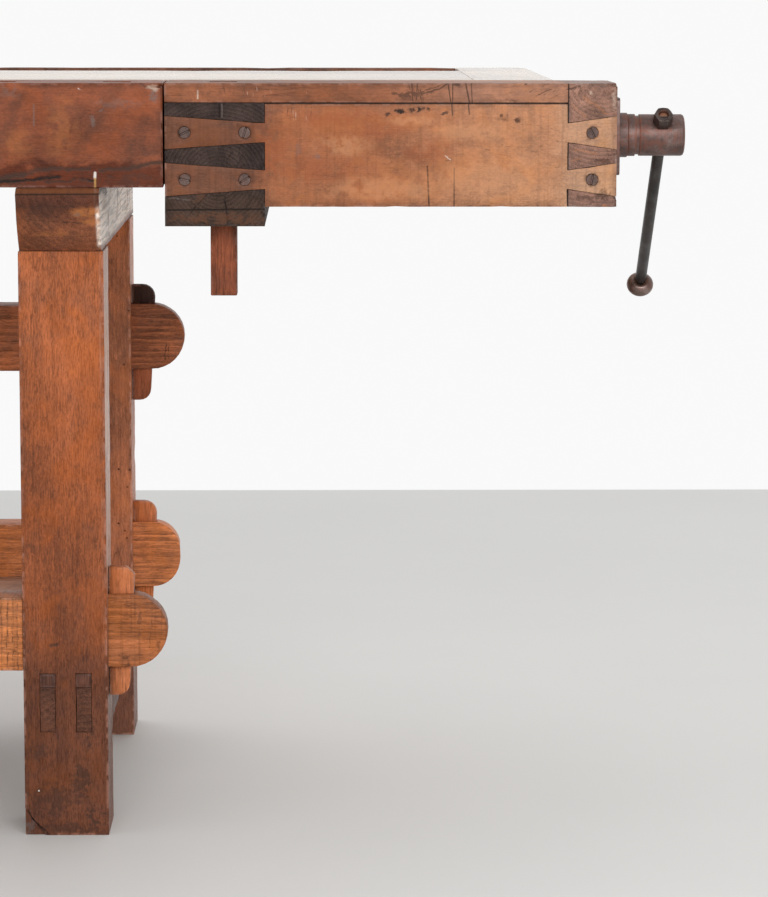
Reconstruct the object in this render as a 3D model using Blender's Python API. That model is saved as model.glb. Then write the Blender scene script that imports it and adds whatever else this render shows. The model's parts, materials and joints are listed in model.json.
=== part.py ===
# An old joiner's workbench: a trestle base drawn together with wedged through tenons, a thick
# top with a tool tray behind it, a box-shaped tail vise at the right and a jaw vise at the left.
# Metres, +Z up, +X along the bench to the tail vise, -Y towards the worker. The construction
# frame has X = 0 on the outer faces of the right legs, Y = 0 on the front faces of the front
# legs and Z = 0 on the floor. At the end the whole bench moves so that the origin is the
# middle of its bounding box, on the floor.

import math

import bmesh
import bpy
from mathutils import Matrix, Vector

# Clearances
GAP = 0.0003            # between pieces that touch
SLIDE_GAP = 0.0010      # beside wood that slides on wood
TURN_GAP = 0.0004       # round iron that turns or slides in iron

# Modelling allowances
PAST = 0.010            # how far a cutter runs past what it cuts
ROOT = 0.010            # how deep inside its piece a joined part starts

# Legs and trestles
LEG_WIDTH = 0.093
LEG_DEPTH = 0.086
LEG_HEIGHT = 0.652
BASE_DEPTH = 0.592      # front of the front leg to the back of the rear leg
BASE_SPAN = 1.300       # over the outer faces of the two trestles
LEG_TENON_WIDTH = 0.050
LEG_TENON_DEPTH = 0.032
LEG_TENON_HEIGHT = 0.042

# Bearers across the leg tops
BEARER_WIDTH = 0.090
BEARER_HEIGHT = 0.0707
BEARER_NOSE = 0.044     # ahead of the legs
BEARER_TAIL = 0.025     # behind the legs
NOSE_CHAMFER_RUN = 0.009
NOSE_CHAMFER_DROP = 0.0065
NOSE_RADIUS = 0.140

# Foot rails between the legs of a trestle
FOOT_BOTTOM = 0.114
FOOT_HEIGHT = 0.070
FOOT_TENON_WIDTH = 0.017
FOOT_TENON_PITCH = 0.040
FOOT_TENON_HEIGHT = 0.050
FOOT_SHOULDER = 0.0035  # from the rail's underside up to its tenons
FOOT_WEDGE_HEIGHT = 0.0155
FOOT_STUB = 0.050       # how deep the rear tenons go

# Stretchers along the bench
STRETCHER_THICKNESS = 0.050
STRETCHER_HEIGHT = 0.082
STRETCHER_SET_IN = 0.002
STRETCHER_SHOULDER = 0.020
STRETCHER_TENON = 0.028
LOW_STRETCHER_BOTTOM = 0.1865
HIGH_STRETCHER_BOTTOM = 0.4625
TENON_REACH = 0.066     # past the leg, where the end is a half round
BLUNT_REACH = 0.0585    # past the leg, where the end is a blunt round
BLUNT_CORNER = 0.034

# Wedges through the stretchers' tenons
TUSK_WIDTH = 0.0295
TUSK_TAPER = 0.0060
TUSK_LENGTH = 0.146
TUSK_THICKNESS = 0.013
FRONT_TUSK_RISE = 0.030     # above the tenon
REAR_LOW_TUSK_RISE = 0.026
REAR_HIGH_TUSK_RISE = 0.024
TUSK_CHAMFER = 0.009    # top corner of the front ones
TUSK_ROUND = 0.016      # top corner of the rear ones
TUSK_FOOT_ROUND = 0.014
TUSK_SLACK = 0.006      # the tenon's slot runs on inside the leg by this much

# Shelf on the foot rails
SHELF_THICKNESS = 0.0195
SHELF_BOARDS = 2
SHELF_JOINT = 0.003
SHELF_SIDE_GAP = 0.002
SHELF_END_INSET = 0.010

# Top
TOP_THICKNESS = 0.112
TOP_DEPTH = 0.686
TOP_FRONT = 0.030       # ahead of the legs
TOP_LENGTH = 1.997      # over both end caps
RIGHT_OVERHANG = 0.497
CAP_WIDTH = 0.0885
CAP_CORNER = 0.022
CAP_TONGUE = 0.025
CAP_TONGUE_THICKNESS = 0.030
TRAY_WIDTH = 0.130
TRAY_DEPTH = 0.055
TRAY_FLOOR_THICKNESS = 0.018
TRAY_BACK_THICKNESS = 0.028
TRAY_GROOVE = 0.008

# Bench dogs and their holes
DOG_SIZE = 0.029
DOG_LENGTH = 0.232
DOG_SLACK = 0.0005
DOG_SETBACK = 0.0565    # from the front face to the holes' middle
DOG_TOP_SINK = 0.0008   # how far below the top a lowered dog stays
DOG_PITCH = 0.125
DOG_FIRST = 0.052       # from the strip's right end to its first hole
DOG_HOLES = 7
FREE_HOLES = 2          # between the strip's right end and the hole with a dog in it

# Tail vise carriage
CARRIAGE_LENGTH = 0.4876
CARRIAGE_DEPTH = 0.125
CARRIAGE_HEIGHT = 0.1328
JAW_BLOCK_LENGTH = 0.1076
JAW_BLOCK_DROP = 0.021
JAW_TONGUE_LENGTH = 0.190
JAW_GAP = 0.002
END_BLOCK_LENGTH = 0.053
END_GAP = 0.0065
FRONT_BOARD_THICKNESS = 0.040
COVER_THICKNESS = 0.0212
FLOOR_BOARD_THICKNESS = 0.022
TAIL_TRAVEL = 0.200
TAIL_DOG_INSET = 0.0620
NOSE_SIDE_GAP = 0.0020
RUNNER_HEIGHT = 0.020
RUNNER_DROP = 0.050
RUNNER_REACH = 0.010

# Dovetails of the carriage's front board
UPPER_DOVETAIL_DROP = 0.053
LOWER_DOVETAIL_DROP = 0.1035
DOVETAIL_HALF_END = 0.0180
DOVETAIL_HALF_ROOT = 0.0102

# Wood screws in the dovetails
WOOD_SCREW_HEAD = 0.0130
WOOD_SCREW_HEAD_DEPTH = 0.0045
WOOD_SCREW_SHANK = 0.0055
WOOD_SCREW_POINT = 0.0014
WOOD_SCREW_LENGTH = 0.052
WOOD_SCREW_TIP = 0.008
WOOD_SCREW_SLOT = 0.0018
WOOD_SCREW_SLOT_DEPTH = 0.0018
WOOD_SCREW_INSET = 0.0215

# Iron screws, flanges, nuts and bars, alike on both vises
SCREW_DIAMETER = 0.030
SCREW_CHAMFER = 0.002
AXIS_SETBACK = 0.074    # tail vise: from the front face to the axis
AXIS_DROP = 0.0585      # from the bench top to either axis
FLANGE_SIDE = 0.084
FLANGE_THICKNESS = 0.006
FLANGE_CORNER = 0.005
BOSS_DIAMETER = 0.0488
BOSS_LENGTH = 0.0110
RING_DIAMETER = 0.0462
RING_LENGTH = 0.0079
NECK_DIAMETER = 0.0426
NECK_LENGTH = 0.0048
HEAD_DIAMETER = 0.0457
HEAD_LENGTH = 0.0493
HEAD_ROUNDING = 0.0030
COLLAR_DIAMETER = 0.044
COLLAR_LENGTH = 0.008
NUT_DIAMETER = 0.044
NUT_LENGTH = 0.060
NUT_PLATE_SIDE = 0.060
NUT_PLATE_THICKNESS = 0.005
BAR_DIAMETER = 0.0130
BAR_END_DIAMETER = 0.0096
BAR_END_SINK = 0.003    # the bar's end stays this far inside its nut
BAR_LENGTH = 0.3210     # from the hexagon nut's seat to the knob's outer end
BAR_NUT_ACROSS = 0.0185
BAR_NUT_HEIGHT = 0.0140
KNOB_DIAMETER = 0.0315
KNOB_HEIGHT = 0.0172
KNOB_ROUND = 54         # degrees of its side's arc, up and down from the middle
TAIL_BAR_LEAN = 50.4    # degrees from upright, top towards the worker
FRONT_BAR_LEAN = -24.0  # degrees from upright, top towards the left
TAIL_SCREW_INNER = 0.300

# Front vise
FRONT_JAW_LENGTH = 0.450
FRONT_JAW_THICKNESS = 0.060
FRONT_JAW_LIFT = 0.0015
FRONT_JAW_GAP = 0.0005
FRONT_TRAVEL = 0.150
FRONT_SCREW_INNER = 0.325
GUIDE_WIDTH = 0.030
GUIDE_HEIGHT = 0.040
GUIDE_PITCH = 0.210
GUIDE_LENGTH = 0.385
SLOT_MARGIN = 0.005

# Thread of both vise screws: how far one turn carries them
SCREW_PITCH = 0.008

# Heights and depths that several pieces share
BEARER_BOTTOM = LEG_HEIGHT + GAP
BEARER_TOP = BEARER_BOTTOM + BEARER_HEIGHT
TOP_BOTTOM = BEARER_TOP + GAP
TOP_Z = TOP_BOTTOM + TOP_THICKNESS
FRONT_Y = -TOP_FRONT
BACK_Y = FRONT_Y + TOP_DEPTH
TRAY_BACK_Y = BACK_Y - TRAY_BACK_THICKNESS
SLAB_BACK_Y = TRAY_BACK_Y - TRAY_WIDTH
CARRIAGE_BACK_Y = FRONT_Y + CARRIAGE_DEPTH
STRIP_BACK_Y = CARRIAGE_BACK_Y + NOSE_SIDE_GAP
SLAB_FRONT_Y = STRIP_BACK_Y + GAP
RIGHT_X = RIGHT_OVERHANG
LEFT_X = RIGHT_X - TOP_LENGTH
CAP_RIGHT_X = RIGHT_X - CAP_WIDTH
CAP_LEFT_X = LEFT_X + CAP_WIDTH
END_BLOCK_X = RIGHT_X + END_GAP
CARRIAGE_RIGHT_X = END_BLOCK_X + END_BLOCK_LENGTH
CARRIAGE_LEFT_X = CARRIAGE_RIGHT_X - CARRIAGE_LENGTH
JAW_BLOCK_RIGHT_X = CARRIAGE_LEFT_X + JAW_BLOCK_LENGTH
STRIP_RIGHT_X = CARRIAGE_LEFT_X - JAW_GAP
CARRIAGE_BOTTOM = TOP_Z - CARRIAGE_HEIGHT
COVER_BOTTOM = TOP_Z - COVER_THICKNESS
BOARD_BACK_Y = FRONT_Y + FRONT_BOARD_THICKNESS
DOG_Y = FRONT_Y + DOG_SETBACK
AXIS_Z = TOP_Z - AXIS_DROP
CAP_TONGUE_Z = (TOP_Z + TOP_BOTTOM) / 2
TRAY_FLOOR_TOP = TOP_Z - TRAY_DEPTH
LEFT_LEG_X = -BASE_SPAN
FRONT_AXIS_X = LEFT_X + FRONT_JAW_LENGTH / 2
JAW_FRONT_Y = FRONT_Y - FRONT_JAW_GAP - FRONT_JAW_THICKNESS

# Maps from a flat outline and its extrusion to X, Y and Z
ALONG_X = Matrix(((0, 0, 1, 0), (1, 0, 0, 0), (0, 1, 0, 0), (0, 0, 0, 1)))
ALONG_Y = Matrix(((1, 0, 0, 0), (0, 0, 1, 0), (0, 1, 0, 0), (0, 0, 0, 1)))
ALONG_Z = Matrix.Identity(4)

# Colour, roughness and metallic value of each finish
FINISHES = {
    "leg_oak": ((0.235, 0.094, 0.043), 0.55, 0.0),
    "bearer_oak": ((0.190, 0.075, 0.038), 0.55, 0.0),
    "rail_oak": ((0.360, 0.145, 0.056), 0.55, 0.0),
    "wedge_ash": ((0.420, 0.160, 0.062), 0.55, 0.0),
    "shelf_pine": ((0.250, 0.215, 0.205), 0.75, 0.0),
    "top_beech": ((0.300, 0.115, 0.050), 0.45, 0.0),
    "vise_fruitwood": ((0.400, 0.180, 0.085), 0.45, 0.0),
    "end_grain": ((0.085, 0.058, 0.046), 0.60, 0.0),
    "dog_beech": ((0.300, 0.085, 0.045), 0.50, 0.0),
    "brown_iron": ((0.085, 0.052, 0.040), 0.40, 0.9),
    "screw_steel": ((0.110, 0.085, 0.075), 0.45, 0.9),
}


def finish_of(name, finish):
    colour, roughness, metallic = FINISHES[finish]
    material = bpy.data.materials.new(f"{name}_{finish}")
    material.use_nodes = True
    shader = material.node_tree.nodes["Principled BSDF"]
    shader.inputs["Base Color"].default_value = (*colour, 1.0)
    shader.inputs["Roughness"].default_value = roughness
    shader.inputs["Metallic"].default_value = metallic
    material.diffuse_color = (*colour, 1.0)
    return material


def finished(name, bm, finish, round_piece=False):
    """Closes a shape into an object. With no finish it is a cutter or a joined part."""
    bmesh.ops.recalc_face_normals(bm, faces=bm.faces)
    mesh = bpy.data.meshes.new(name)
    bm.to_mesh(mesh)
    bm.free()
    if round_piece:
        mesh.shade_smooth()
        mesh.set_sharp_from_angle(angle=math.radians(35))
    piece = bpy.data.objects.new(name, mesh)
    bpy.context.scene.collection.objects.link(piece)
    if finish is None:
        piece.hide_render = True
        piece.display_type = "WIRE"
    else:
        mesh.materials.append(finish_of(name, finish))
    return piece


def block(name, x, y, z, finish=None, place=None):
    """A box between the low and high values of x, y and z."""
    bm = bmesh.new()
    bmesh.ops.create_cube(bm, size=1.0)
    for vert in bm.verts:
        for axis, (low, high) in enumerate((x, y, z)):
            vert.co[axis] = low if vert.co[axis] < 0 else high
    if place is not None:
        bmesh.ops.transform(bm, matrix=place, verts=bm.verts)
    return finished(name, bm, finish)


def prism(name, outline, low, high, place=ALONG_Z, finish=None):
    """A flat outline extruded from low to high, then put in place."""
    bm = bmesh.new()
    face = bm.faces.new([bm.verts.new((u, v, low)) for u, v in outline])
    extruded = bmesh.ops.extrude_face_region(bm, geom=[face])["geom"]
    moved = [item for item in extruded if isinstance(item, bmesh.types.BMVert)]
    bmesh.ops.translate(bm, vec=(0, 0, high - low), verts=moved)
    bmesh.ops.transform(bm, matrix=place, verts=bm.verts)
    return finished(name, bm, finish)


def turned(name, profile, place, finish=None, sides=32):
    """A profile of (distance along the axis, radius) points spun round the place's Z axis."""
    bm = bmesh.new()
    points = [(profile[0][0], 0.0), *profile, (profile[-1][0], 0.0)]
    verts = [bm.verts.new((radius, 0, along)) for along, radius in points]
    edges = [bm.edges.new(pair) for pair in zip(verts, verts[1:])]
    bmesh.ops.spin(
        bm, geom=verts + edges, cent=(0, 0, 0), axis=(0, 0, 1), angle=math.tau, steps=sides, use_merge=True
    )
    bmesh.ops.remove_doubles(bm, verts=bm.verts, dist=1e-6)
    bmesh.ops.transform(bm, matrix=place, verts=bm.verts)
    return finished(name, bm, finish, round_piece=True)


def rod(name, low, high, diameter, place, finish=None, sides=32):
    return turned(name, [(low, diameter / 2), (high, diameter / 2)], place, finish, sides)


def arc(centre, radius, start, end, steps):
    """Points on an arc, the angles in degrees."""
    points = []
    for step in range(steps + 1):
        angle = math.radians(start + (end - start) * step / steps)
        points.append((centre[0] + radius * math.cos(angle), centre[1] + radius * math.sin(angle)))
    return points


def rounded(low_u, high_u, low_v, high_v, radius, steps):
    """A rectangle with round corners, as one outline."""
    corners = (
        ((high_u - radius, high_v - radius), 0),
        ((low_u + radius, high_v - radius), 90),
        ((low_u + radius, low_v + radius), 180),
        ((high_u - radius, low_v + radius), 270),
    )
    outline = []
    for centre, start in corners:
        for point in arc(centre, radius, start, start + 90, steps):
            if not outline or math.dist(point, outline[-1]) > 1e-6:
                outline.append(point)
    if math.dist(outline[0], outline[-1]) < 1e-6:
        outline.pop()
    return outline


def boolean(piece, other, operation):
    modifier = piece.modifiers.new(other.name, "BOOLEAN")
    modifier.object = other
    modifier.operation = operation
    modifier.solver = "EXACT"


def carve(piece, *cutters):
    for cutter in cutters:
        boolean(piece, cutter, "DIFFERENCE")


def join(piece, *parts):
    for part in parts:
        boolean(piece, part, "UNION")


def set_axis(piece, point):
    """Moves a piece's origin onto its joint's axis, leaving the piece where it is."""
    point = Vector(point)
    piece.data.transform(Matrix.Translation(-point))
    piece.location = point


def grown(low, high, margin):
    return low - margin, high + margin


# Base

def foot_tenon_ranges(leg_x):
    """The X ranges of the twin tenons in a leg whose outer face is at leg_x."""
    middle = leg_x - LEG_WIDTH / 2
    centres = (middle - FOOT_TENON_PITCH / 2, middle + FOOT_TENON_PITCH / 2)
    return [grown(centre, centre, FOOT_TENON_WIDTH / 2) for centre in centres]


def build_leg(name, leg_x, y, stretcher_bottoms, through):
    """leg_x is the right face, y the front face. through is False where the foot rail's tenons stop inside."""
    leg = block(name, (leg_x - LEG_WIDTH, leg_x), (y, y + LEG_DEPTH), (0, LEG_HEIGHT), "leg_oak")
    middle_x = leg_x - LEG_WIDTH / 2
    middle_y = y + LEG_DEPTH / 2
    tenon = block(
        f"{name}_top_tenon",
        grown(middle_x, middle_x, LEG_TENON_WIDTH / 2),
        grown(middle_y, middle_y, LEG_TENON_DEPTH / 2),
        (LEG_HEIGHT - ROOT, LEG_HEIGHT + LEG_TENON_HEIGHT),
    )
    join(leg, tenon)
    tenon_front = y + STRETCHER_SET_IN + STRETCHER_SHOULDER
    for bottom in stretcher_bottoms:
        mortise = block(
            f"{name}_stretcher_mortise",
            grown(leg_x - LEG_WIDTH, leg_x, PAST),
            grown(tenon_front, tenon_front + STRETCHER_TENON, GAP),
            grown(bottom, bottom + STRETCHER_HEIGHT, GAP),
        )
        carve(leg, mortise)
    tenon_bottom = FOOT_BOTTOM + FOOT_SHOULDER
    for tenon_x in foot_tenon_ranges(leg_x):
        if through:
            depth = grown(y, y + LEG_DEPTH, PAST)
            top = tenon_bottom + FOOT_TENON_HEIGHT + FOOT_WEDGE_HEIGHT + GAP
        else:
            depth = (y - PAST, y + FOOT_STUB + GAP)
            top = tenon_bottom + FOOT_TENON_HEIGHT
        mortise = block(f"{name}_foot_mortise", grown(*tenon_x, GAP), depth, grown(tenon_bottom, top, GAP))
        carve(leg, mortise)
    return leg


def build_bearer(name, leg_x):
    """The cross beam on the two leg tops, with a drawn-back nose at the front."""
    top, bottom = BEARER_TOP, BEARER_BOTTOM
    nose_top = (-BEARER_NOSE, top - NOSE_CHAMFER_DROP)
    nose_foot = (0.0, bottom)
    chord = Vector(nose_foot) - Vector(nose_top)
    middle = (Vector(nose_foot) + Vector(nose_top)) / 2
    across = Vector((-chord.y, chord.x)).normalized()
    centre = middle + across * math.sqrt(NOSE_RADIUS ** 2 - chord.length_squared / 4)
    start = math.degrees(math.atan2(nose_top[1] - centre.y, nose_top[0] - centre.x)) % 360
    end = math.degrees(math.atan2(nose_foot[1] - centre.y, nose_foot[0] - centre.x)) % 360
    outline = [(NOSE_CHAMFER_RUN - BEARER_NOSE, top)]
    outline += arc(centre, NOSE_RADIUS, start, end, 8)
    tail = BASE_DEPTH + BEARER_TAIL
    outline += [(tail, bottom), (tail, top)]
    inset = (LEG_WIDTH - BEARER_WIDTH) / 2
    bearer = prism(name, outline, leg_x - LEG_WIDTH + inset, leg_x - inset, ALONG_X, "bearer_oak")
    middle_x = leg_x - LEG_WIDTH / 2
    for end_name, y in (("front", 0.0), ("rear", BASE_DEPTH - LEG_DEPTH)):
        middle_y = y + LEG_DEPTH / 2
        mortise = block(
            f"{name}_{end_name}_mortise",
            grown(middle_x, middle_x, LEG_TENON_WIDTH / 2 + GAP),
            grown(middle_y, middle_y, LEG_TENON_DEPTH / 2 + GAP),
            (bottom - PAST, LEG_HEIGHT + LEG_TENON_HEIGHT + GAP),
        )
        carve(bearer, mortise)
    return bearer


def build_foot_rail(name, leg_x):
    front = LEG_DEPTH + GAP
    back = BASE_DEPTH - LEG_DEPTH - GAP
    z = (FOOT_BOTTOM, FOOT_BOTTOM + FOOT_HEIGHT)
    rail = block(name, (leg_x - LEG_WIDTH, leg_x), (front, back), z, "bearer_oak")
    tenon_bottom = FOOT_BOTTOM + FOOT_SHOULDER
    for tenon_x in foot_tenon_ranges(leg_x):
        reach = (0.0, BASE_DEPTH - LEG_DEPTH + FOOT_STUB)
        tenon = block(f"{name}_tenon", tenon_x, reach, (tenon_bottom, tenon_bottom + FOOT_TENON_HEIGHT))
        join(rail, tenon)
    return rail


def build_foot_wedges(side, leg_x):
    """One wedge above each of the twin tenons, driven in from the front of the front leg."""
    bottom = FOOT_BOTTOM + FOOT_SHOULDER + FOOT_TENON_HEIGHT + GAP
    for place, tenon_x in zip(("outer", "inner"), foot_tenon_ranges(leg_x)):
        z = (bottom, bottom + FOOT_WEDGE_HEIGHT - GAP)
        block(f"foot_wedge_{side}_{place}", tenon_x, (0.0, LEG_DEPTH), z, "end_grain")


def tusk_outline(outer_face, direction, bottom, top_corner, corner_steps):
    """A tusk wedge seen from the front: upright against the leg, tapering outside."""
    top = bottom + TUSK_LENGTH
    lower_width = TUSK_WIDTH - TUSK_TAPER
    shape = [(GAP, bottom), (GAP, top)]
    shape += arc((TUSK_WIDTH - top_corner, top - top_corner), top_corner, 90, 0, corner_steps)
    foot_centre = (lower_width - TUSK_FOOT_ROUND, bottom + TUSK_FOOT_ROUND)
    shape += arc(foot_centre, TUSK_FOOT_ROUND, 0, -90, 5)
    return [(outer_face + direction * out, z) for out, z in shape]


def tusk_slot(name, outer_face, direction, bottom, top_corner, y):
    """The slot that a tusk wedge fills in its tenon, open at the top and the bottom."""
    top = bottom + TUSK_LENGTH
    upper = top - top_corner
    slope = TUSK_TAPER / (upper - bottom - TUSK_FOOT_ROUND)
    outline = [
        (-TUSK_SLACK, bottom),
        (-TUSK_SLACK, top),
        (TUSK_WIDTH + slope * (top - upper) + GAP, top),
        (TUSK_WIDTH - slope * (upper - bottom) + GAP, bottom),
    ]
    placed = [(outer_face + direction * out, z) for out, z in outline]
    return prism(name, placed, y[0] - GAP, y[1] + GAP, ALONG_Y)


def build_stretcher(name, leg_y, bottom, reach, corner, rise, tusk_corner, corner_steps):
    """A rail from trestle to trestle, its through tenons held outside the legs by wedges."""
    left, right = LEFT_LEG_X, 0.0
    front = leg_y + STRETCHER_SET_IN
    z = (bottom, bottom + STRETCHER_HEIGHT)
    between = (left + LEG_WIDTH + GAP, right - LEG_WIDTH - GAP)
    rail = block(name, between, (front, front + STRETCHER_THICKNESS), z, "rail_oak")
    tenon_y = (front + STRETCHER_SHOULDER, front + STRETCHER_SHOULDER + STRETCHER_TENON)
    ends = rounded(left - reach, right + reach, *z, corner, 8)
    join(rail, prism(f"{name}_tenons", ends, *tenon_y, ALONG_Y))
    wedge_middle = sum(tenon_y) / 2
    wedge_y = grown(wedge_middle, wedge_middle, TUSK_THICKNESS / 2)
    wedge_bottom = z[1] + rise - TUSK_LENGTH
    for side, face, direction in (("left", left, -1), ("right", right, 1)):
        carve(rail, tusk_slot(f"{name}_{side}_slot", face, direction, wedge_bottom, tusk_corner, wedge_y))
        outline = tusk_outline(face, direction, wedge_bottom, tusk_corner, corner_steps)
        prism(f"tusk_{name.removeprefix('stretcher_')}_{side}", outline, *wedge_y, ALONG_Y, "wedge_ash")
    return rail


def build_shelf():
    front = LEG_DEPTH + SHELF_SIDE_GAP
    back = BASE_DEPTH - LEG_DEPTH - SHELF_SIDE_GAP
    width = (back - front - SHELF_JOINT * (SHELF_BOARDS - 1)) / SHELF_BOARDS
    bottom = FOOT_BOTTOM + FOOT_HEIGHT + GAP
    ends = (LEFT_LEG_X + SHELF_END_INSET, -SHELF_END_INSET)
    faces = (bottom, bottom + SHELF_THICKNESS)
    for number in range(SHELF_BOARDS):
        y = front + number * (width + SHELF_JOINT)
        block(f"shelf_board_{number + 1}", ends, (y, y + width), faces, "shelf_pine")


def build_base():
    rear_y = BASE_DEPTH - LEG_DEPTH
    for side, leg_x in (("left", LEFT_LEG_X + LEG_WIDTH), ("right", 0.0)):
        build_leg(f"leg_front_{side}", leg_x, 0.0, [LOW_STRETCHER_BOTTOM], through=True)
        rear_bottoms = [LOW_STRETCHER_BOTTOM, HIGH_STRETCHER_BOTTOM]
        build_leg(f"leg_rear_{side}", leg_x, rear_y, rear_bottoms, through=False)
        build_bearer(f"bearer_{side}", leg_x)
        build_foot_rail(f"foot_rail_{side}", leg_x)
        build_foot_wedges(side, leg_x)
    half_round = STRETCHER_HEIGHT / 2
    low, high = LOW_STRETCHER_BOTTOM, HIGH_STRETCHER_BOTTOM
    front_shape = (low, TENON_REACH, half_round, FRONT_TUSK_RISE, TUSK_CHAMFER, 1)
    low_shape = (low, BLUNT_REACH, BLUNT_CORNER, REAR_LOW_TUSK_RISE, TUSK_ROUND, 5)
    high_shape = (high, TENON_REACH, half_round, REAR_HIGH_TUSK_RISE, TUSK_ROUND, 5)
    build_stretcher("stretcher_front", 0.0, *front_shape)
    build_stretcher("stretcher_rear_low", rear_y, *low_shape)
    build_stretcher("stretcher_rear_high", rear_y, *high_shape)
    build_shelf()


# Top

def dog_hole(name, x, z):
    side = DOG_SIZE / 2 + DOG_SLACK
    return block(name, grown(x, x, side), grown(DOG_Y, DOG_Y, side), grown(*z, PAST))


def build_dog(name, x):
    """A square wooden peg, lowered until it is flush with the bench top."""
    top = TOP_Z - DOG_TOP_SINK
    dog = block(
        name,
        grown(x, x, DOG_SIZE / 2),
        grown(DOG_Y, DOG_Y, DOG_SIZE / 2),
        (top - DOG_LENGTH, top),
        "dog_beech",
    )
    set_axis(dog, (x, DOG_Y, top))
    return dog


def strip_hole_x(number):
    return STRIP_RIGHT_X - DOG_FIRST - number * DOG_PITCH


def build_strip():
    """The thick front strip, with the dog holes and the front vise's nut and guides in it."""
    z = (TOP_BOTTOM, TOP_Z)
    strip = block("dog_strip", (CAP_LEFT_X + GAP, STRIP_RIGHT_X), (FRONT_Y, STRIP_BACK_Y), z, "top_beech")
    for number in range(DOG_HOLES):
        carve(strip, dog_hole(f"strip_hole_{number}", strip_hole_x(number), z))
    carve(strip, *guide_cutters("strip", FRONT_Y - PAST, STRIP_BACK_Y + PAST, SLIDE_GAP / 2, AXIS_Z))
    carve(strip, *nut_cutters("strip", front_place(), JAW_FRONT_Y - FRONT_Y, TOP_DEPTH))
    return strip


def guide_cutters(name, front, back, margin, middle_z):
    """Straight slots round the front vise's two guide bars."""
    cutters = []
    for number, x in enumerate(guide_xs()):
        x_range = grown(x, x, GUIDE_WIDTH / 2 + margin)
        z_range = grown(middle_z, middle_z, GUIDE_HEIGHT / 2 + margin)
        cutters.append(block(f"{name}_guide_slot_{number}", x_range, (front, back), z_range))
    return cutters


def guide_xs():
    return FRONT_AXIS_X - GUIDE_PITCH / 2, FRONT_AXIS_X + GUIDE_PITCH / 2


def tongue(name, x, y):
    return block(name, x, y, grown(CAP_TONGUE_Z, CAP_TONGUE_Z, CAP_TONGUE_THICKNESS / 2))


def tongue_groove(name, x, y):
    half = CAP_TONGUE_THICKNESS / 2 + GAP
    return block(name, x, y, grown(CAP_TONGUE_Z, CAP_TONGUE_Z, half))


def build_slab():
    """The main plank: tongues into the end caps, slots below for the front vise, a groove for the tray."""
    ends = (CAP_LEFT_X + GAP, CAP_RIGHT_X - GAP)
    slab = block("top_slab", ends, (SLAB_FRONT_Y, SLAB_BACK_Y), (TOP_BOTTOM, TOP_Z), "top_beech")
    join(slab, tongue("slab_tongues", grown(*ends, CAP_TONGUE - GAP), tongue_ends()))
    guide_back = JAW_FRONT_Y + GUIDE_LENGTH + SLOT_MARGIN
    for number, x in enumerate(guide_xs()):
        slot_top = AXIS_Z + GUIDE_HEIGHT / 2 + SLOT_MARGIN
        x_range = grown(x, x, GUIDE_WIDTH / 2 + SLOT_MARGIN)
        y_range = (SLAB_FRONT_Y - PAST, guide_back)
        carve(slab, block(f"slab_guide_slot_{number}", x_range, y_range, (TOP_BOTTOM - PAST, slot_top)))
    screw_back = JAW_FRONT_Y + FRONT_SCREW_INNER + SLOT_MARGIN
    x_range = grown(FRONT_AXIS_X, FRONT_AXIS_X, SCREW_DIAMETER / 2 + SLOT_MARGIN)
    z_range = (TOP_BOTTOM - PAST, AXIS_Z + SCREW_DIAMETER / 2 + SLOT_MARGIN)
    carve(slab, block("slab_screw_slot", x_range, (SLAB_FRONT_Y - PAST, screw_back), z_range))
    carve(slab, tray_groove("slab_tray_groove", SLAB_BACK_Y - TRAY_GROOVE, SLAB_BACK_Y + PAST))
    return slab


def tongue_ends():
    """The tongues stop short of the slab's edges."""
    return SLAB_FRONT_Y + CAP_TONGUE, SLAB_BACK_Y - CAP_TONGUE


def tray_groove(name, front, back):
    x = (CAP_LEFT_X - PAST, CAP_RIGHT_X + PAST)
    z = grown(TRAY_FLOOR_TOP - TRAY_FLOOR_THICKNESS, TRAY_FLOOR_TOP, GAP)
    return block(name, x, (front, back), z)


def build_tray():
    ends = (CAP_LEFT_X + GAP, CAP_RIGHT_X - GAP)
    z = (TRAY_FLOOR_TOP - TRAY_FLOOR_THICKNESS, TRAY_FLOOR_TOP)
    reach = TRAY_GROOVE - GAP
    block("tray_floor", ends, grown(SLAB_BACK_Y, TRAY_BACK_Y, reach), z, "top_beech")
    back = block("tray_back", ends, (TRAY_BACK_Y, BACK_Y), (TOP_BOTTOM, TOP_Z), "top_beech")
    carve(back, tray_groove("back_tray_groove", TRAY_BACK_Y - PAST, TRAY_BACK_Y + TRAY_GROOVE))


def cap_outline(inner_x, outer_x, front):
    """An end cap from above, its rear outer corner rounded."""
    direction = 1 if outer_x > inner_x else -1
    corner = arc((0, 0), CAP_CORNER, 0, 90, 6)
    rounded_corner = [(outer_x - direction * (CAP_CORNER - u), BACK_Y - CAP_CORNER + v) for u, v in corner]
    return [(inner_x, front), (outer_x, front), *rounded_corner, (inner_x, BACK_Y)]


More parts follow.
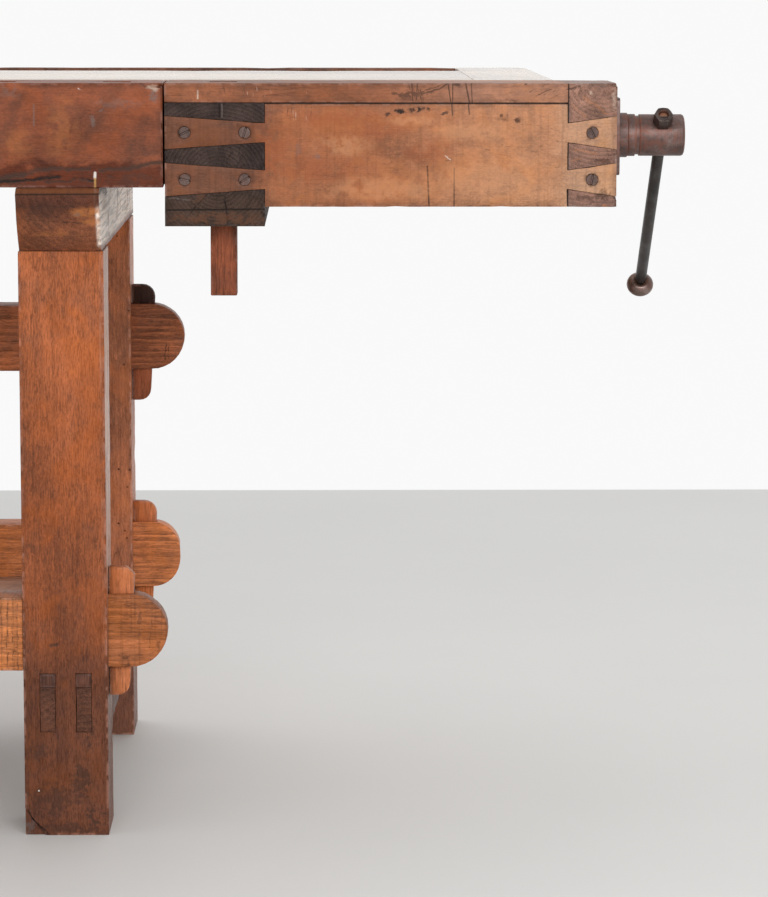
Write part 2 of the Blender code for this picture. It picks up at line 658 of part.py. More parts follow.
def build_caps():
    """The right cap has a forward nose, which carries the tail vise's nut and guides its carriage."""
    z = (TOP_BOTTOM, TOP_Z)
    left = prism("end_cap_left", cap_outline(CAP_LEFT_X, LEFT_X, FRONT_Y), *z, ALONG_Z, "top_beech")
    groove_x = (CAP_LEFT_X - CAP_TONGUE, CAP_LEFT_X + PAST)
    carve(left, tongue_groove("left_cap_groove", groove_x, grown(*tongue_ends(), GAP)))
    right = prism("end_cap_right", cap_outline(CAP_RIGHT_X, RIGHT_X, SLAB_FRONT_Y), *z, ALONG_Z, "top_beech")
    nose_z = (CARRIAGE_BOTTOM + FLOOR_BOARD_THICKNESS + SLIDE_GAP, COVER_BOTTOM - SLIDE_GAP)
    nose_y = (BOARD_BACK_Y + NOSE_SIDE_GAP, SLAB_FRONT_Y + ROOT)
    join(right, block("right_cap_nose", (CAP_RIGHT_X, RIGHT_X), nose_y, nose_z))
    groove_x = (CAP_RIGHT_X - PAST, CAP_RIGHT_X + CAP_TONGUE)
    carve(right, tongue_groove("right_cap_groove", groove_x, grown(*tongue_ends(), GAP)))
    carve(right, *nut_cutters("right_cap", tail_place(), RIGHT_X - CARRIAGE_RIGHT_X, TOP_DEPTH))


def runner_z():
    middle = TOP_Z - RUNNER_DROP
    return grown(middle, middle, RUNNER_HEIGHT / 2)


def build_edge_runner():
    """The strip on the slab's front edge that the jaw block's groove slides on."""
    x = (STRIP_RIGHT_X + GAP, CAP_RIGHT_X - GAP)
    block("edge_runner", x, (SLAB_FRONT_Y - RUNNER_REACH, SLAB_FRONT_Y - GAP), runner_z(), "rail_oak")


def build_top():
    build_strip()
    build_slab()
    build_tray()
    build_caps()
    build_edge_runner()


# Tail vise carriage

def dovetail_corners(root_x, end_x, middle_z, past=0.0, margin=0.0):
    """One tail as seen from the front, wider at its end. past and margin enlarge it into a socket."""
    direction = 1 if end_x > root_x else -1
    slope = (DOVETAIL_HALF_END - DOVETAIL_HALF_ROOT) / abs(end_x - root_x)
    half_root = DOVETAIL_HALF_ROOT - slope * past + margin
    half_end = DOVETAIL_HALF_END + slope * past + margin
    root = root_x - direction * past
    stop = end_x + direction * past
    return [
        (root, middle_z + half_root),
        (stop, middle_z + half_end),
        (stop, middle_z - half_end),
        (root, middle_z - half_root),
    ]


def board_outline(root_left, root_right, z):
    """The front board with two tails at each end."""
    upper, lower = dovetail_heights()
    ends = dovetail_ends()
    outline = [(root_left, z[1])]
    outline += dovetail_corners(root_left, ends["jaw"][1], upper)
    outline += dovetail_corners(root_left, ends["jaw"][1], lower)
    outline += [(root_left, z[0]), (root_right, z[0])]
    outline += reversed(dovetail_corners(root_right, ends["end"][1], lower))
    outline += reversed(dovetail_corners(root_right, ends["end"][1], upper))
    return [*outline, (root_right, z[1])]


def dovetail_heights():
    return TOP_Z - UPPER_DOVETAIL_DROP, TOP_Z - LOWER_DOVETAIL_DROP


def dovetail_ends():
    """Root and end of the tails over each block."""
    return {
        "jaw": (JAW_BLOCK_RIGHT_X, CARRIAGE_LEFT_X),
        "end": (END_BLOCK_X, CARRIAGE_RIGHT_X),
    }


def wood_screw_places():
    """Name and centre of each slotted screw, on the carriage's front face."""
    xs = {
        "left": CARRIAGE_LEFT_X + WOOD_SCREW_INSET,
        "middle": JAW_BLOCK_RIGHT_X - WOOD_SCREW_INSET,
        "right": (END_BLOCK_X + CARRIAGE_RIGHT_X) / 2,
    }
    places = {}
    for level, z in zip(("upper", "lower"), dovetail_heights()):
        for column, x in xs.items():
            places[f"wood_screw_{column}_{level}"] = (x, z)
    return places


def screw_place(x, z, turn):
    """Local Z points out of the front face, and the slot lies along local X."""
    upright = Matrix.Rotation(math.radians(90), 4, "X")
    return Matrix.Translation((x, FRONT_Y, z)) @ upright @ Matrix.Rotation(math.radians(turn), 4, "Z")


def wood_screw_profile(margin):
    """Tip, shank and countersunk head, its top GAP below the wood."""
    head = WOOD_SCREW_HEAD / 2 + margin
    shank = WOOD_SCREW_SHANK / 2 + margin
    point = WOOD_SCREW_POINT / 2 + margin
    tip = -(WOOD_SCREW_LENGTH - WOOD_SCREW_TIP) - margin
    return [(tip - WOOD_SCREW_TIP, point), (tip, shank), (-WOOD_SCREW_HEAD_DEPTH, shank), (-GAP, head)]


def build_wood_screws(pieces):
    """Countersunk slotted screws through the tails into the blocks behind."""
    for number, (name, (x, z)) in enumerate(wood_screw_places().items()):
        place = screw_place(x, z, 25 + 47 * number)
        screw = turned(name, wood_screw_profile(0.0), place, "screw_steel", 16)
        slot = block(
            f"{name}_slot",
            grown(0, 0, WOOD_SCREW_HEAD),
            grown(0, 0, WOOD_SCREW_SLOT / 2),
            (-WOOD_SCREW_SLOT_DEPTH, PAST),
            None,
            place,
        )
        carve(screw, slot)
        hole_profile = [*wood_screw_profile(GAP), (PAST, WOOD_SCREW_HEAD / 2 + GAP)]
        hole = turned(f"{name}_hole", hole_profile, place, None, 16)
        block_piece = pieces["end"] if "right" in name else pieces["jaw"]
        carve(pieces["board"], hole)
        carve(block_piece, hole)


def build_carriage():
    """Front board, jaw block, end block, cover and floor board: the box that slides along the bench's end."""
    board_x = (JAW_BLOCK_RIGHT_X + GAP, END_BLOCK_X - GAP)
    board_z = (CARRIAGE_BOTTOM, COVER_BOTTOM - GAP)
    outline = board_outline(*board_x, board_z)
    board = prism("vise_front_board", outline, FRONT_Y, BOARD_BACK_Y, ALONG_Y, "vise_fruitwood")
    jaw_x = (CARRIAGE_LEFT_X, JAW_BLOCK_RIGHT_X)
    jaw_z = (CARRIAGE_BOTTOM - JAW_BLOCK_DROP, COVER_BOTTOM - GAP)
    jaw_y = (FRONT_Y, CARRIAGE_BACK_Y)
    jaw = block("vise_jaw_block", jaw_x, jaw_y, jaw_z, "end_grain")
    tongue_z = (jaw_z[0], TOP_BOTTOM - SLIDE_GAP)
    tongue_y = (CARRIAGE_BACK_Y - ROOT, CARRIAGE_BACK_Y + JAW_TONGUE_LENGTH)
    join(jaw, block("jaw_block_tongue", jaw_x, tongue_y, tongue_z))
    groove_y = (SLAB_FRONT_Y - RUNNER_REACH - SLIDE_GAP, CARRIAGE_BACK_Y + PAST)
    carve(jaw, block("jaw_runner_groove", grown(*jaw_x, PAST), groove_y, grown(*runner_z(), SLIDE_GAP / 2)))
    end_x = (END_BLOCK_X, CARRIAGE_RIGHT_X)
    end = block("vise_end_block", end_x, (FRONT_Y, CARRIAGE_BACK_Y), (CARRIAGE_BOTTOM, TOP_Z), "end_grain")
    blocks = {"jaw": jaw, "end": end}
    for which, (root_x, end_x) in dovetail_ends().items():
        for level, middle_z in enumerate(dovetail_heights()):
            corners = dovetail_corners(root_x, end_x, middle_z, PAST, GAP)
            socket = prism(f"socket_{which}_{level}", corners, FRONT_Y - PAST, BOARD_BACK_Y + GAP, ALONG_Y)
            carve(blocks[which], socket)
    cover_x = (CARRIAGE_LEFT_X, END_BLOCK_X - GAP)
    cover_y = (FRONT_Y, CARRIAGE_BACK_Y)
    cover = block("vise_cover", cover_x, cover_y, (COVER_BOTTOM, TOP_Z), "vise_fruitwood")
    floor_y = (BOARD_BACK_Y + GAP, CARRIAGE_BACK_Y)
    floor_z = (CARRIAGE_BOTTOM, CARRIAGE_BOTTOM + FLOOR_BOARD_THICKNESS)
    block("vise_floor_board", board_x, floor_y, floor_z, "vise_fruitwood")
    hole_z = (jaw_z[0], TOP_Z)
    carve(jaw, dog_hole("jaw_dog_hole", tail_dog_x(), hole_z))
    carve(cover, dog_hole("cover_dog_hole", tail_dog_x(), hole_z))
    carve(end, seat_cutter("end_block", tail_place(), END_BLOCK_LENGTH))
    build_wood_screws({"board": board, **blocks})


def tail_dog_x():
    return CARRIAGE_LEFT_X + TAIL_DOG_INSET


# Iron screw sets, built in a frame whose Z points out along the screw and whose Y is up. Its
# origin is where the axis leaves the face that the flange sits on.

def tail_place():
    columns = Matrix(((0, 0, 1), (1, 0, 0), (0, 1, 0))).to_4x4()
    return Matrix.Translation((CARRIAGE_RIGHT_X, FRONT_Y + AXIS_SETBACK, AXIS_Z)) @ columns


def front_place():
    columns = Matrix(((1, 0, 0), (0, 0, -1), (0, 1, 0))).to_4x4()
    return Matrix.Translation((FRONT_AXIS_X, JAW_FRONT_Y, AXIS_Z)) @ columns


def seat_cutter(name, place, thickness):
    """The bore through the wood that carries a screw, widening behind for the thrust collar."""
    bore = SCREW_DIAMETER / 2 + SLIDE_GAP
    pocket = COLLAR_DIAMETER / 2 + SLIDE_GAP
    pocket_end = COLLAR_LENGTH + 2 * SLIDE_GAP - thickness
    profile = [(-thickness - PAST, pocket), (pocket_end, pocket), (pocket_end, bore), (PAST, bore)]
    return turned(f"{name}_seat", profile, place)


def nut_cutters(name, place, face, bore_length):
    """The housing of a nut whose plate lies flush in the face at this distance along the axis."""
    half = NUT_PLATE_SIDE / 2 + GAP
    plate_z = (face - NUT_PLATE_THICKNESS - GAP, face + PAST)
    plate = block(f"{name}_plate", (-half, half), (-half, half), plate_z, None, place)
    housing = NUT_DIAMETER / 2 + GAP
    bore = SCREW_DIAMETER / 2 + SLIDE_GAP
    housing_end = face - NUT_LENGTH - GAP
    profile = [(face - bore_length, bore), (housing_end, bore), (housing_end, housing), (face + PAST, housing)]
    return plate, turned(f"{name}_nut_housing", profile, place)


def ring(name, low, high, diameter, bore, place, finish):
    piece = rod(name, low, high, diameter, place, finish)
    carve(piece, rod(f"{name}_bore", low - PAST, high + PAST, bore, place))
    return piece


def build_flange(name, place):
    half = FLANGE_SIDE / 2
    plate = prism(
        name, rounded(-half, half, -half, half, FLANGE_CORNER, 3), GAP, FLANGE_THICKNESS, place, "brown_iron"
    )
    boss_end = FLANGE_THICKNESS + BOSS_LENGTH
    join(plate, rod(f"{name}_boss", FLANGE_THICKNESS / 2, boss_end, BOSS_DIAMETER, place))
    carve(plate, rod(f"{name}_bore", -PAST, boss_end + PAST, SCREW_DIAMETER + 2 * TURN_GAP, place))
    return plate


def head_start():
    return FLANGE_THICKNESS + BOSS_LENGTH + TURN_GAP + RING_LENGTH + NECK_LENGTH


def build_screw(name, place, inner):
    """Shaft, ring, neck and head in one forging. inner is how far it reaches behind the flange's seat."""
    shaft = SCREW_DIAMETER / 2
    ring_start = FLANGE_THICKNESS + BOSS_LENGTH + TURN_GAP
    ring_end = ring_start + RING_LENGTH
    start = head_start()
    end = start + HEAD_LENGTH
    head = HEAD_DIAMETER / 2
    profile = [
        (-inner, shaft - SCREW_CHAMFER),
        (SCREW_CHAMFER - inner, shaft),
        (ring_start, shaft),
        (ring_start, RING_DIAMETER / 2),
        (ring_end, RING_DIAMETER / 2),
        (ring_end, NECK_DIAMETER / 2),
        (start, NECK_DIAMETER / 2),
        (start, head),
        (end - HEAD_ROUNDING, head),
        (end - HEAD_ROUNDING / 3, head - HEAD_ROUNDING / 3),
        (end, head - HEAD_ROUNDING),
    ]
    return turned(name, profile, place, "brown_iron", 40)


def bar_place(place, lean):
    """The frame of a bar through the head: Z runs up along the bar."""
    middle = head_start() + HEAD_LENGTH / 2
    tilt = Matrix.Rotation(math.radians(lean), 4, "Z") @ Matrix.Rotation(math.radians(-90), 4, "X")
    return place @ Matrix.Translation((0, 0, middle)) @ tilt


def build_bar(name, along):
    """The sliding bar, with a turned-down end in each of its nuts."""
    seat = HEAD_DIAMETER / 2 + GAP
    low = seat - BAR_LENGTH + KNOB_HEIGHT
    end = BAR_END_DIAMETER / 2
    body = BAR_DIAMETER / 2
    profile = [
        (low - KNOB_HEIGHT + BAR_END_SINK, end),
        (low + GAP, end),
        (low + GAP, body),
        (seat - GAP, body),
        (seat - GAP, end),
        (seat + BAR_NUT_HEIGHT - BAR_END_SINK, end),
    ]
    turned(name, profile, along, "brown_iron", 20)
    hexagon = arc((0, 0), BAR_NUT_ACROSS / math.sqrt(3), 30, 330, 5)
    nut = prism(f"{name}_nut", hexagon, seat, seat + BAR_NUT_HEIGHT, along, "brown_iron")
    bore = BAR_END_DIAMETER + 2 * GAP
    carve(nut, rod(f"{name}_nut_bore", seat - PAST, seat + BAR_NUT_HEIGHT + PAST, bore, along, None, 20))
    knob_profile = []
    for step in range(7):
        angle = math.radians(KNOB_ROUND * (step / 3 - 1))
        spread = math.sin(math.radians(KNOB_ROUND))
        along_knob = low - KNOB_HEIGHT / 2 + KNOB_HEIGHT / 2 * math.sin(angle) / spread
        knob_profile.append((along_knob, KNOB_DIAMETER / 2 * math.cos(angle)))
    knob = turned(f"{name}_knob", knob_profile, along, "brown_iron", 24)
    carve(knob, rod(f"{name}_knob_bore", low - KNOB_HEIGHT - PAST, low + PAST, bore, along, None, 20))
    return [f"{name}{part}" for part in ("", "_nut", "_knob")]


def build_screw_set(prefix, place, thickness, nut_face, inner, lean):
    """Flange, screw, thrust collar, nut and bar of one vise."""
    build_flange(f"{prefix}_flange", place)
    screw = build_screw(f"{prefix}_screw", place, inner)
    along = bar_place(place, lean)
    bar_bore = BAR_DIAMETER + 2 * TURN_GAP
    carve(screw, rod(f"{prefix}_bar_hole", -HEAD_DIAMETER, HEAD_DIAMETER, bar_bore, along, None, 20))
    collar_end = SLIDE_GAP + COLLAR_LENGTH - thickness
    bore = SCREW_DIAMETER + 2 * GAP
    collar_name = f"{prefix}_thrust_collar"
    ring(collar_name, collar_end - COLLAR_LENGTH, collar_end, COLLAR_DIAMETER, bore, place, "brown_iron")
    nut = rod(f"{prefix}_screw_nut", nut_face - NUT_LENGTH, nut_face - GAP, NUT_DIAMETER, place, "brown_iron")
    half = NUT_PLATE_SIDE / 2
    plate_z = (nut_face - NUT_PLATE_THICKNESS, nut_face - GAP)
    join(nut, block(f"{prefix}_nut_plate", (-half, half), (-half, half), plate_z, None, place))
    bore = SCREW_DIAMETER + 2 * TURN_GAP
    carve(nut, rod(f"{prefix}_nut_thread", nut_face - NUT_LENGTH - PAST, nut_face + PAST, bore, place))
    bar_names = build_bar(f"{prefix}_bar", along)
    for piece_name in (f"{prefix}_screw", collar_name):
        set_axis(bpy.data.objects[piece_name], place.translation)
    for piece_name in bar_names:
        set_axis(bpy.data.objects[piece_name], along.translation)
    return along


# Front vise

def build_front_jaw():
    """A wooden jaw on two guide bars that slide through the front strip."""
    x = (LEFT_X, LEFT_X + FRONT_JAW_LENGTH)
    y = (JAW_FRONT_Y, JAW_FRONT_Y + FRONT_JAW_THICKNESS)
    jaw = block("front_jaw", x, y, (TOP_BOTTOM + FRONT_JAW_LIFT, TOP_Z), "vise_fruitwood")
    carve(jaw, seat_cutter("front_jaw", front_place(), FRONT_JAW_THICKNESS))
    carve(jaw, *guide_cutters("front_jaw", y[0] - PAST, y[1] + PAST, GAP, AXIS_Z))
    for side, guide_x in zip(("left", "right"), guide_xs()):
        z = grown(AXIS_Z, AXIS_Z, GUIDE_HEIGHT / 2)
        reach = (JAW_FRONT_Y, JAW_FRONT_Y + GUIDE_LENGTH)
        block(f"front_guide_{side}", grown(guide_x, guide_x, GUIDE_WIDTH / 2), reach, z, "rail_oak")


def stand_on_origin():
    """Moves everything so that the origin is the middle of the bounding box, on the floor."""
    bpy.context.view_layer.update()
    pieces = list(bpy.context.scene.objects)
    shown = [piece for piece in pieces if not piece.hide_render]
    corners = [piece.matrix_world @ Vector(corner) for piece in shown for corner in piece.bound_box]
    middle_x = (min(c.x for c in corners) + max(c.x for c in corners)) / 2
    middle_y = (min(c.y for c in corners) + max(c.y for c in corners)) / 2
    shift = Vector((-middle_x, -middle_y, -min(c.z for c in corners)))
    for piece in pieces:
        piece.location += shift
    bpy.context.view_layer.update()
    return shift


def main():
    for old in list(bpy.data.objects):
        bpy.data.objects.remove(old, do_unlink=True)
    build_base()
    build_top()
    build_carriage()
    tail_along = build_screw_set(
        "tail", tail_place(), END_BLOCK_LENGTH, RIGHT_X - CARRIAGE_RIGHT_X, TAIL_SCREW_INNER, TAIL_BAR_LEAN
    )
    build_front_jaw()
    front_along = build_screw_set(
        "front", front_place(), FRONT_JAW_THICKNESS, JAW_FRONT_Y - FRONT_Y, FRONT_SCREW_INNER, FRONT_BAR_LEAN
    )
    build_dog("tail_dog", tail_dog_x())
    build_dog("strip_dog", strip_hole_x(FREE_HOLES))
    shift = stand_on_origin()
    print("shift", [round(value, 6) for value in shift])
    for name, place in (("tail screw", tail_place()), ("front screw", front_place())):
        print(name, [round(value, 6) for value in place.translation + shift])
    for name, along in (("tail bar", tail_along), ("front bar", front_along)):
        axis = along.to_3x3() @ Vector((0, 0, 1))
        place = along.translation + shift
        print(name, [round(value, 6) for value in place], "axis", [round(value, 6) for value in axis])
    travel = BAR_LENGTH - KNOB_HEIGHT - HEAD_DIAMETER - 2 * GAP
    print("bar travel", round(travel, 5), "tail travel", TAIL_TRAVEL, "front travel", FRONT_TRAVEL)
    print("screw turns", TAIL_TRAVEL / SCREW_PITCH, FRONT_TRAVEL / SCREW_PITCH)


main()
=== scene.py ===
import json
import math

import bmesh
import bpy
from mathutils import Matrix, Vector, noise


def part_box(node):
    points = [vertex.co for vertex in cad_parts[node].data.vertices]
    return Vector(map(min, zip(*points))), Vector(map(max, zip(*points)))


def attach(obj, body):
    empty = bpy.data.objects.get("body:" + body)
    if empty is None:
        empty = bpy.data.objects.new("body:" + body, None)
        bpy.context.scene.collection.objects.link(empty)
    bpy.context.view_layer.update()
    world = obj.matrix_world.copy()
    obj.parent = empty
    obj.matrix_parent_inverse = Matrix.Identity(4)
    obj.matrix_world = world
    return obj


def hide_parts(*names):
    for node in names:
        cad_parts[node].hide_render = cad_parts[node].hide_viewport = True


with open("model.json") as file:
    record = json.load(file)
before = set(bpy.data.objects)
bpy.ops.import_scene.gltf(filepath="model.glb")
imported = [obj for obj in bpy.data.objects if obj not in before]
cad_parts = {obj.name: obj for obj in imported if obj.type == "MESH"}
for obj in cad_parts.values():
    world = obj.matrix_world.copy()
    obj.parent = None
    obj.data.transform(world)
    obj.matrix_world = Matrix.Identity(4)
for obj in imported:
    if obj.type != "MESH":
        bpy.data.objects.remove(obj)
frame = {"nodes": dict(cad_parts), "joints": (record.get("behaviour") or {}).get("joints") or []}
nodes = frame["nodes"]
joints = {joint["name"]: joint for joint in frame["joints"]}
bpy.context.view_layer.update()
print("frame loaded:", len(nodes), "nodes")

# millimetres are counted from the outer front foot of the right front leg, where the photo was measured
startFoot = Vector((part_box("leg_front_right")[1].x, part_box("leg_front_right")[0].y, 0.0))


def at(x, y, z):
    return startFoot + Vector((x, y, z)) / 1000


# Shader maths

class Wire:  # one output of a node, with the usual operators
    def __init__(self, graph, socket):
        self.graph = graph
        self.socket = socket

    def math(self, operation, *others, clamp=False):
        settings = {"operation": operation, "use_clamp": clamp}
        return self.graph.node("ShaderNodeMath", settings, dict(enumerate((self, *others))))

    def __add__(self, other):
        return self.math("ADD", other)

    __radd__ = __add__

    def __sub__(self, other):
        return self.math("SUBTRACT", other)

    def __rsub__(self, other):
        return self.graph.node("ShaderNodeMath", {"operation": "SUBTRACT"}, {0: other, 1: self})

    def __mul__(self, other):
        return self.math("MULTIPLY", other)

    __rmul__ = __mul__

    def __pow__(self, other):
        return self.math("POWER", other)

    def __abs__(self):
        return self.math("ABSOLUTE")

    def least(self, other):
        return self.math("MINIMUM", other)

    def most(self, other):
        return self.math("MAXIMUM", other)

    def clamped(self):
        return self.math("ADD", 0.0, clamp=True)

    def above(self, edge, soft):  # 0 below the edge, 1 above it
        return self.graph.slope(self, edge - soft, edge + soft)

    def below(self, edge, soft):
        return 1.0 - self.above(edge, soft)


class Graph:  # the nodes of one material, or of the world
    def __init__(self, name, owner=None):
        self.material = owner or bpy.data.materials.new(name)
        self.material.use_nodes = True
        self.tree = self.material.node_tree
        self.place = self.node("ShaderNodeTexCoord", out="Generated" if owner else "Object")
        self.x, self.y, self.z = (
            self.node("ShaderNodeSeparateXYZ", {}, {0: self.place}, out=axis) for axis in "XYZ")

    def node(self, kind, settings=None, links=None, out=0):
        made = self.tree.nodes.new(kind)
        settings = dict(settings or {})
        stops = settings.pop("stops", ())
        for key, value in settings.items():
            setattr(made, key, value)
        for number, (spot, colour) in enumerate(stops):
            elements = made.color_ramp.elements
            stop = elements[number] if number < 2 else elements.new(spot)
            stop.position = spot
            stop.color = (*colour, 1.0)
        for key, value in (links or {}).items():
            self.join(value, made.inputs[key])
        return Wire(self, made.outputs[out])

    def join(self, value, socket):
        if isinstance(value, Wire):
            self.tree.links.new(value.socket, socket)
        elif isinstance(value, tuple) and socket.type == "RGBA":
            socket.default_value = (*value, 1.0)
        else:
            socket.default_value = value

    def slope(self, value, start, end, low=0.0, high=1.0):
        links = {"Value": value, "From Min": start, "From Max": end, "To Min": low, "To Max": high}
        return self.node("ShaderNodeMapRange", {"interpolation_type": "SMOOTHSTEP"}, links)

    def vector(self, operation, *values, out=0):
        return self.node("ShaderNodeVectorMath", {"operation": operation}, dict(enumerate(values)), out)

    def noise(self, scale, detail=3.0, rough=0.6, shift=0.0, warp=0.0, source=None, out=0):
        # scale is cells a metre, one number or one for each axis
        scale = scale if isinstance(scale, tuple) else (scale, scale, scale)
        moved = self.vector("MULTIPLY_ADD", source or self.place, scale, (shift, shift * 1.7, shift * 0.6))
        links = {"Vector": moved, "Scale": 1.0, "Detail": detail, "Roughness": rough, "Distortion": warp}
        return self.node("ShaderNodeTexNoise", {}, links, out)

    def mix(self, mask, first, second, blend="MIX"):
        settings = {"data_type": "RGBA", "blend_type": blend}
        return self.node("ShaderNodeMix", settings, {0: mask, 6: first, 7: second}, out=2)

    def ramp(self, value, stops):
        return self.node("ShaderNodeValToRGB", {"stops": stops}, {"Fac": value}, out="Color")

    def finish(self, sockets, height=None, bump=0.0, depth=0.0):
        shader = self.tree.nodes["Principled BSDF"]
        for key, value in sockets.items():
            self.join(value, shader.inputs[key])
        if height is not None:
            links = {"Strength": bump, "Distance": depth, "Height": height}
            self.join(self.node("ShaderNodeBump", {}, links, out="Normal"), shader.inputs["Normal"])
        return self.material


def shade(colour, times, grey=0.0):  # a darker, lighter or greyer sort of a colour
    mean = sum(colour) / 3
    return tuple(min(0.95, max(0.0, times * (part + (mean - part) * grey))) for part in colour)


# Marks: cracks, stains, scratches and knots on one flat face, in millimetres on it, and a few painted
# shadow lines, shade rings and highlights

tints = {
    "black": (0.012, 0.009, 0.008), "dark": (0.055, 0.028, 0.020), "brown": (0.130, 0.055, 0.030),
    "grey": (0.150, 0.120, 0.110), "pale": (0.560, 0.420, 0.330), "white": (0.800, 0.760, 0.700),
    "orange": (0.520, 0.190, 0.060), "ochre": (0.480, 0.270, 0.090), "gold": (0.600, 0.290, 0.145),
    "red": (0.300, 0.080, 0.030),
}


markPlan = {"reach": 4.5, "sway": 0.008, "scratchShare": 0.62, "dent": 0.2, "deepDent": 1.2}


def alongAxis(axis, along, across):  # one value for an axis, another for the two others
    return tuple(along if letter == axis else across for letter in "XYZ")


class Face:  # the face that marks lie on, seen along one axis
    def __init__(self, g, axis, depth, reach):
        self.g = g
        self.axis = axis
        self.index = "XYZ".index(axis)
        spot = at(depth, depth, depth)[self.index]
        self.near = abs((g.x, g.y, g.z)[self.index] - spot).below(reach / 1000, 0.001)
        self.flat = g.vector("MULTIPLY", g.place, alongAxis(axis, 0.0, 1.0))
        self.ragged = g.noise(260.0, detail=4.0, rough=0.65, shift=5.0) - 0.5
        self.broad = g.noise(34.0, detail=5.0, shift=15.0) - 0.5
        sway = g.noise(60.0, shift=9.0, out="Color")
        sway = g.vector("SUBTRACT", sway, (0.5, 0.5, 0.5))
        self.swayed = g.vector("MULTIPLY_ADD", sway, (markPlan["sway"],) * 3, self.flat)

    def values(self, u, v, rest):  # one value for each axis, the last one across the face
        found = [u, v]
        found.insert(self.index, rest)
        return tuple(found)

    def point(self, u, v):
        spot = at(*self.values(u, v, 0))
        spot[self.index] = 0.0
        return spot

    def line(self, u0, v0, u1, v1, width, source=None):
        g = self.g
        start, end = self.point(u0, v0), self.point(u1, v1)
        along = (end - start).normalized()
        gap = g.vector("SUBTRACT", source or self.flat, tuple(start))
        reach = g.vector("DOT_PRODUCT", gap, tuple(along), out="Value")
        reach = reach.most(0.0).least((end - start).length)
        nearest = g.node("ShaderNodeVectorMath", {"operation": "SCALE"}, {0: tuple(along), "Scale": reach})
        away = g.vector("DISTANCE", gap, nearest, out="Value")
        width = width / 1000
        return (away + self.ragged * (width * 0.8)).below(width * 0.55, width * 0.45)

    def crack(self, *shape):  # a line that wanders
        return self.line(*shape, self.swayed)

    def cloud(self, u, v, ru, rv, stray, edge, soft):
        gap = self.g.vector("SUBTRACT", self.swayed, tuple(self.point(u, v)))
        gap = self.g.vector("DIVIDE", gap, self.values(ru / 1000, rv / 1000, 0.001))
        return (self.g.vector("LENGTH", gap, out="Value") + stray).below(edge, soft)

    def spot(self, u, v, ru, rv, ragged=0.8):
        return self.cloud(u, v, ru, rv, self.ragged * (ragged * 2), edge=0.8, soft=0.35)

    def patch(self, u, v, ru, rv):  # softer and broader than a spot
        return self.cloud(u, v, ru, rv, self.broad * 2.4, edge=1.0, soft=0.6)

    def scratches(self, u, v, ru, rv, lean, spacing):
        links = {"Vector": self.flat, "Axis": alongAxis(self.axis, 1.0, 0.0), "Angle": math.radians(lean)}
        turned = self.g.node("ShaderNodeVectorRotate", {}, links)
        scale = self.values(1000 / spacing, 1000 / spacing * 0.09, 1.0)
        lines = self.g.noise(scale, detail=2.0, shift=u * 0.11, source=turned)
        return lines.above(markPlan["scratchShare"], 0.035) * self.spot(u, v, ru, rv, 0.5)


def markedFace(g, colour, height, axis, depth, marks, reach=markPlan["reach"]):
    # marks are listed by tint and kind, each with its strength and then its place and size
    face = Face(g, axis, depth, reach)
    layers = {}
    for (tint, kind), shapes in marks.items():
        for strength, *shape in shapes:
            mask = getattr(face, kind)(*shape) * strength
            layers[tint] = layers[tint].most(mask) if tint in layers else mask
    for tint, mask in layers.items():
        mask = mask * face.near
        colour = g.mix(mask, colour, tints[tint])
        height = height - mask * markPlan["deepDent" if tint in ("black", "dark") else "dent"]
    return colour, height


# Wood

def nearestEdge(g, low, high):  # metres from the nearest edge of a squared piece
    a, b, c = ((wire - start).least(end - wire) for wire, start, end in zip((g.x, g.y, g.z), low, high))
    return a.least(b).most(a.most(b).least(c))


plainWood = {
    "drift": 1.1, "mottle": 0.9, "mottleScale": (15.0, 34.0), "lines": 0.7, "lineScale": 260.0,
    "fibre": 0.7, "specks": 0.35, "hairs": 0.45, "ringGap": 7.0, "rings": 0.12, "ringWander": 20.0,
    "pith": (30, 60, -90), "stripes": 0.0, "pores": 0.5, "poreEdge": 0.60, "poreLength": 26.0,
    "stains": 0.18, "polish": 0.25, "dirt": 0.4, "rubbed": 0.4, "worm": 0.0, "rough": 0.38,
    "gloss": 0.10, "wax": 0.0, "bump": 0.5, "fades": (), "greyAndSheen": (), "marks": (), "knocks": (),
    "step": 0.014, "cross": 0.02, "wobble": 0.0006, "chip": 0.0022, "bevel": 0.0012,
}


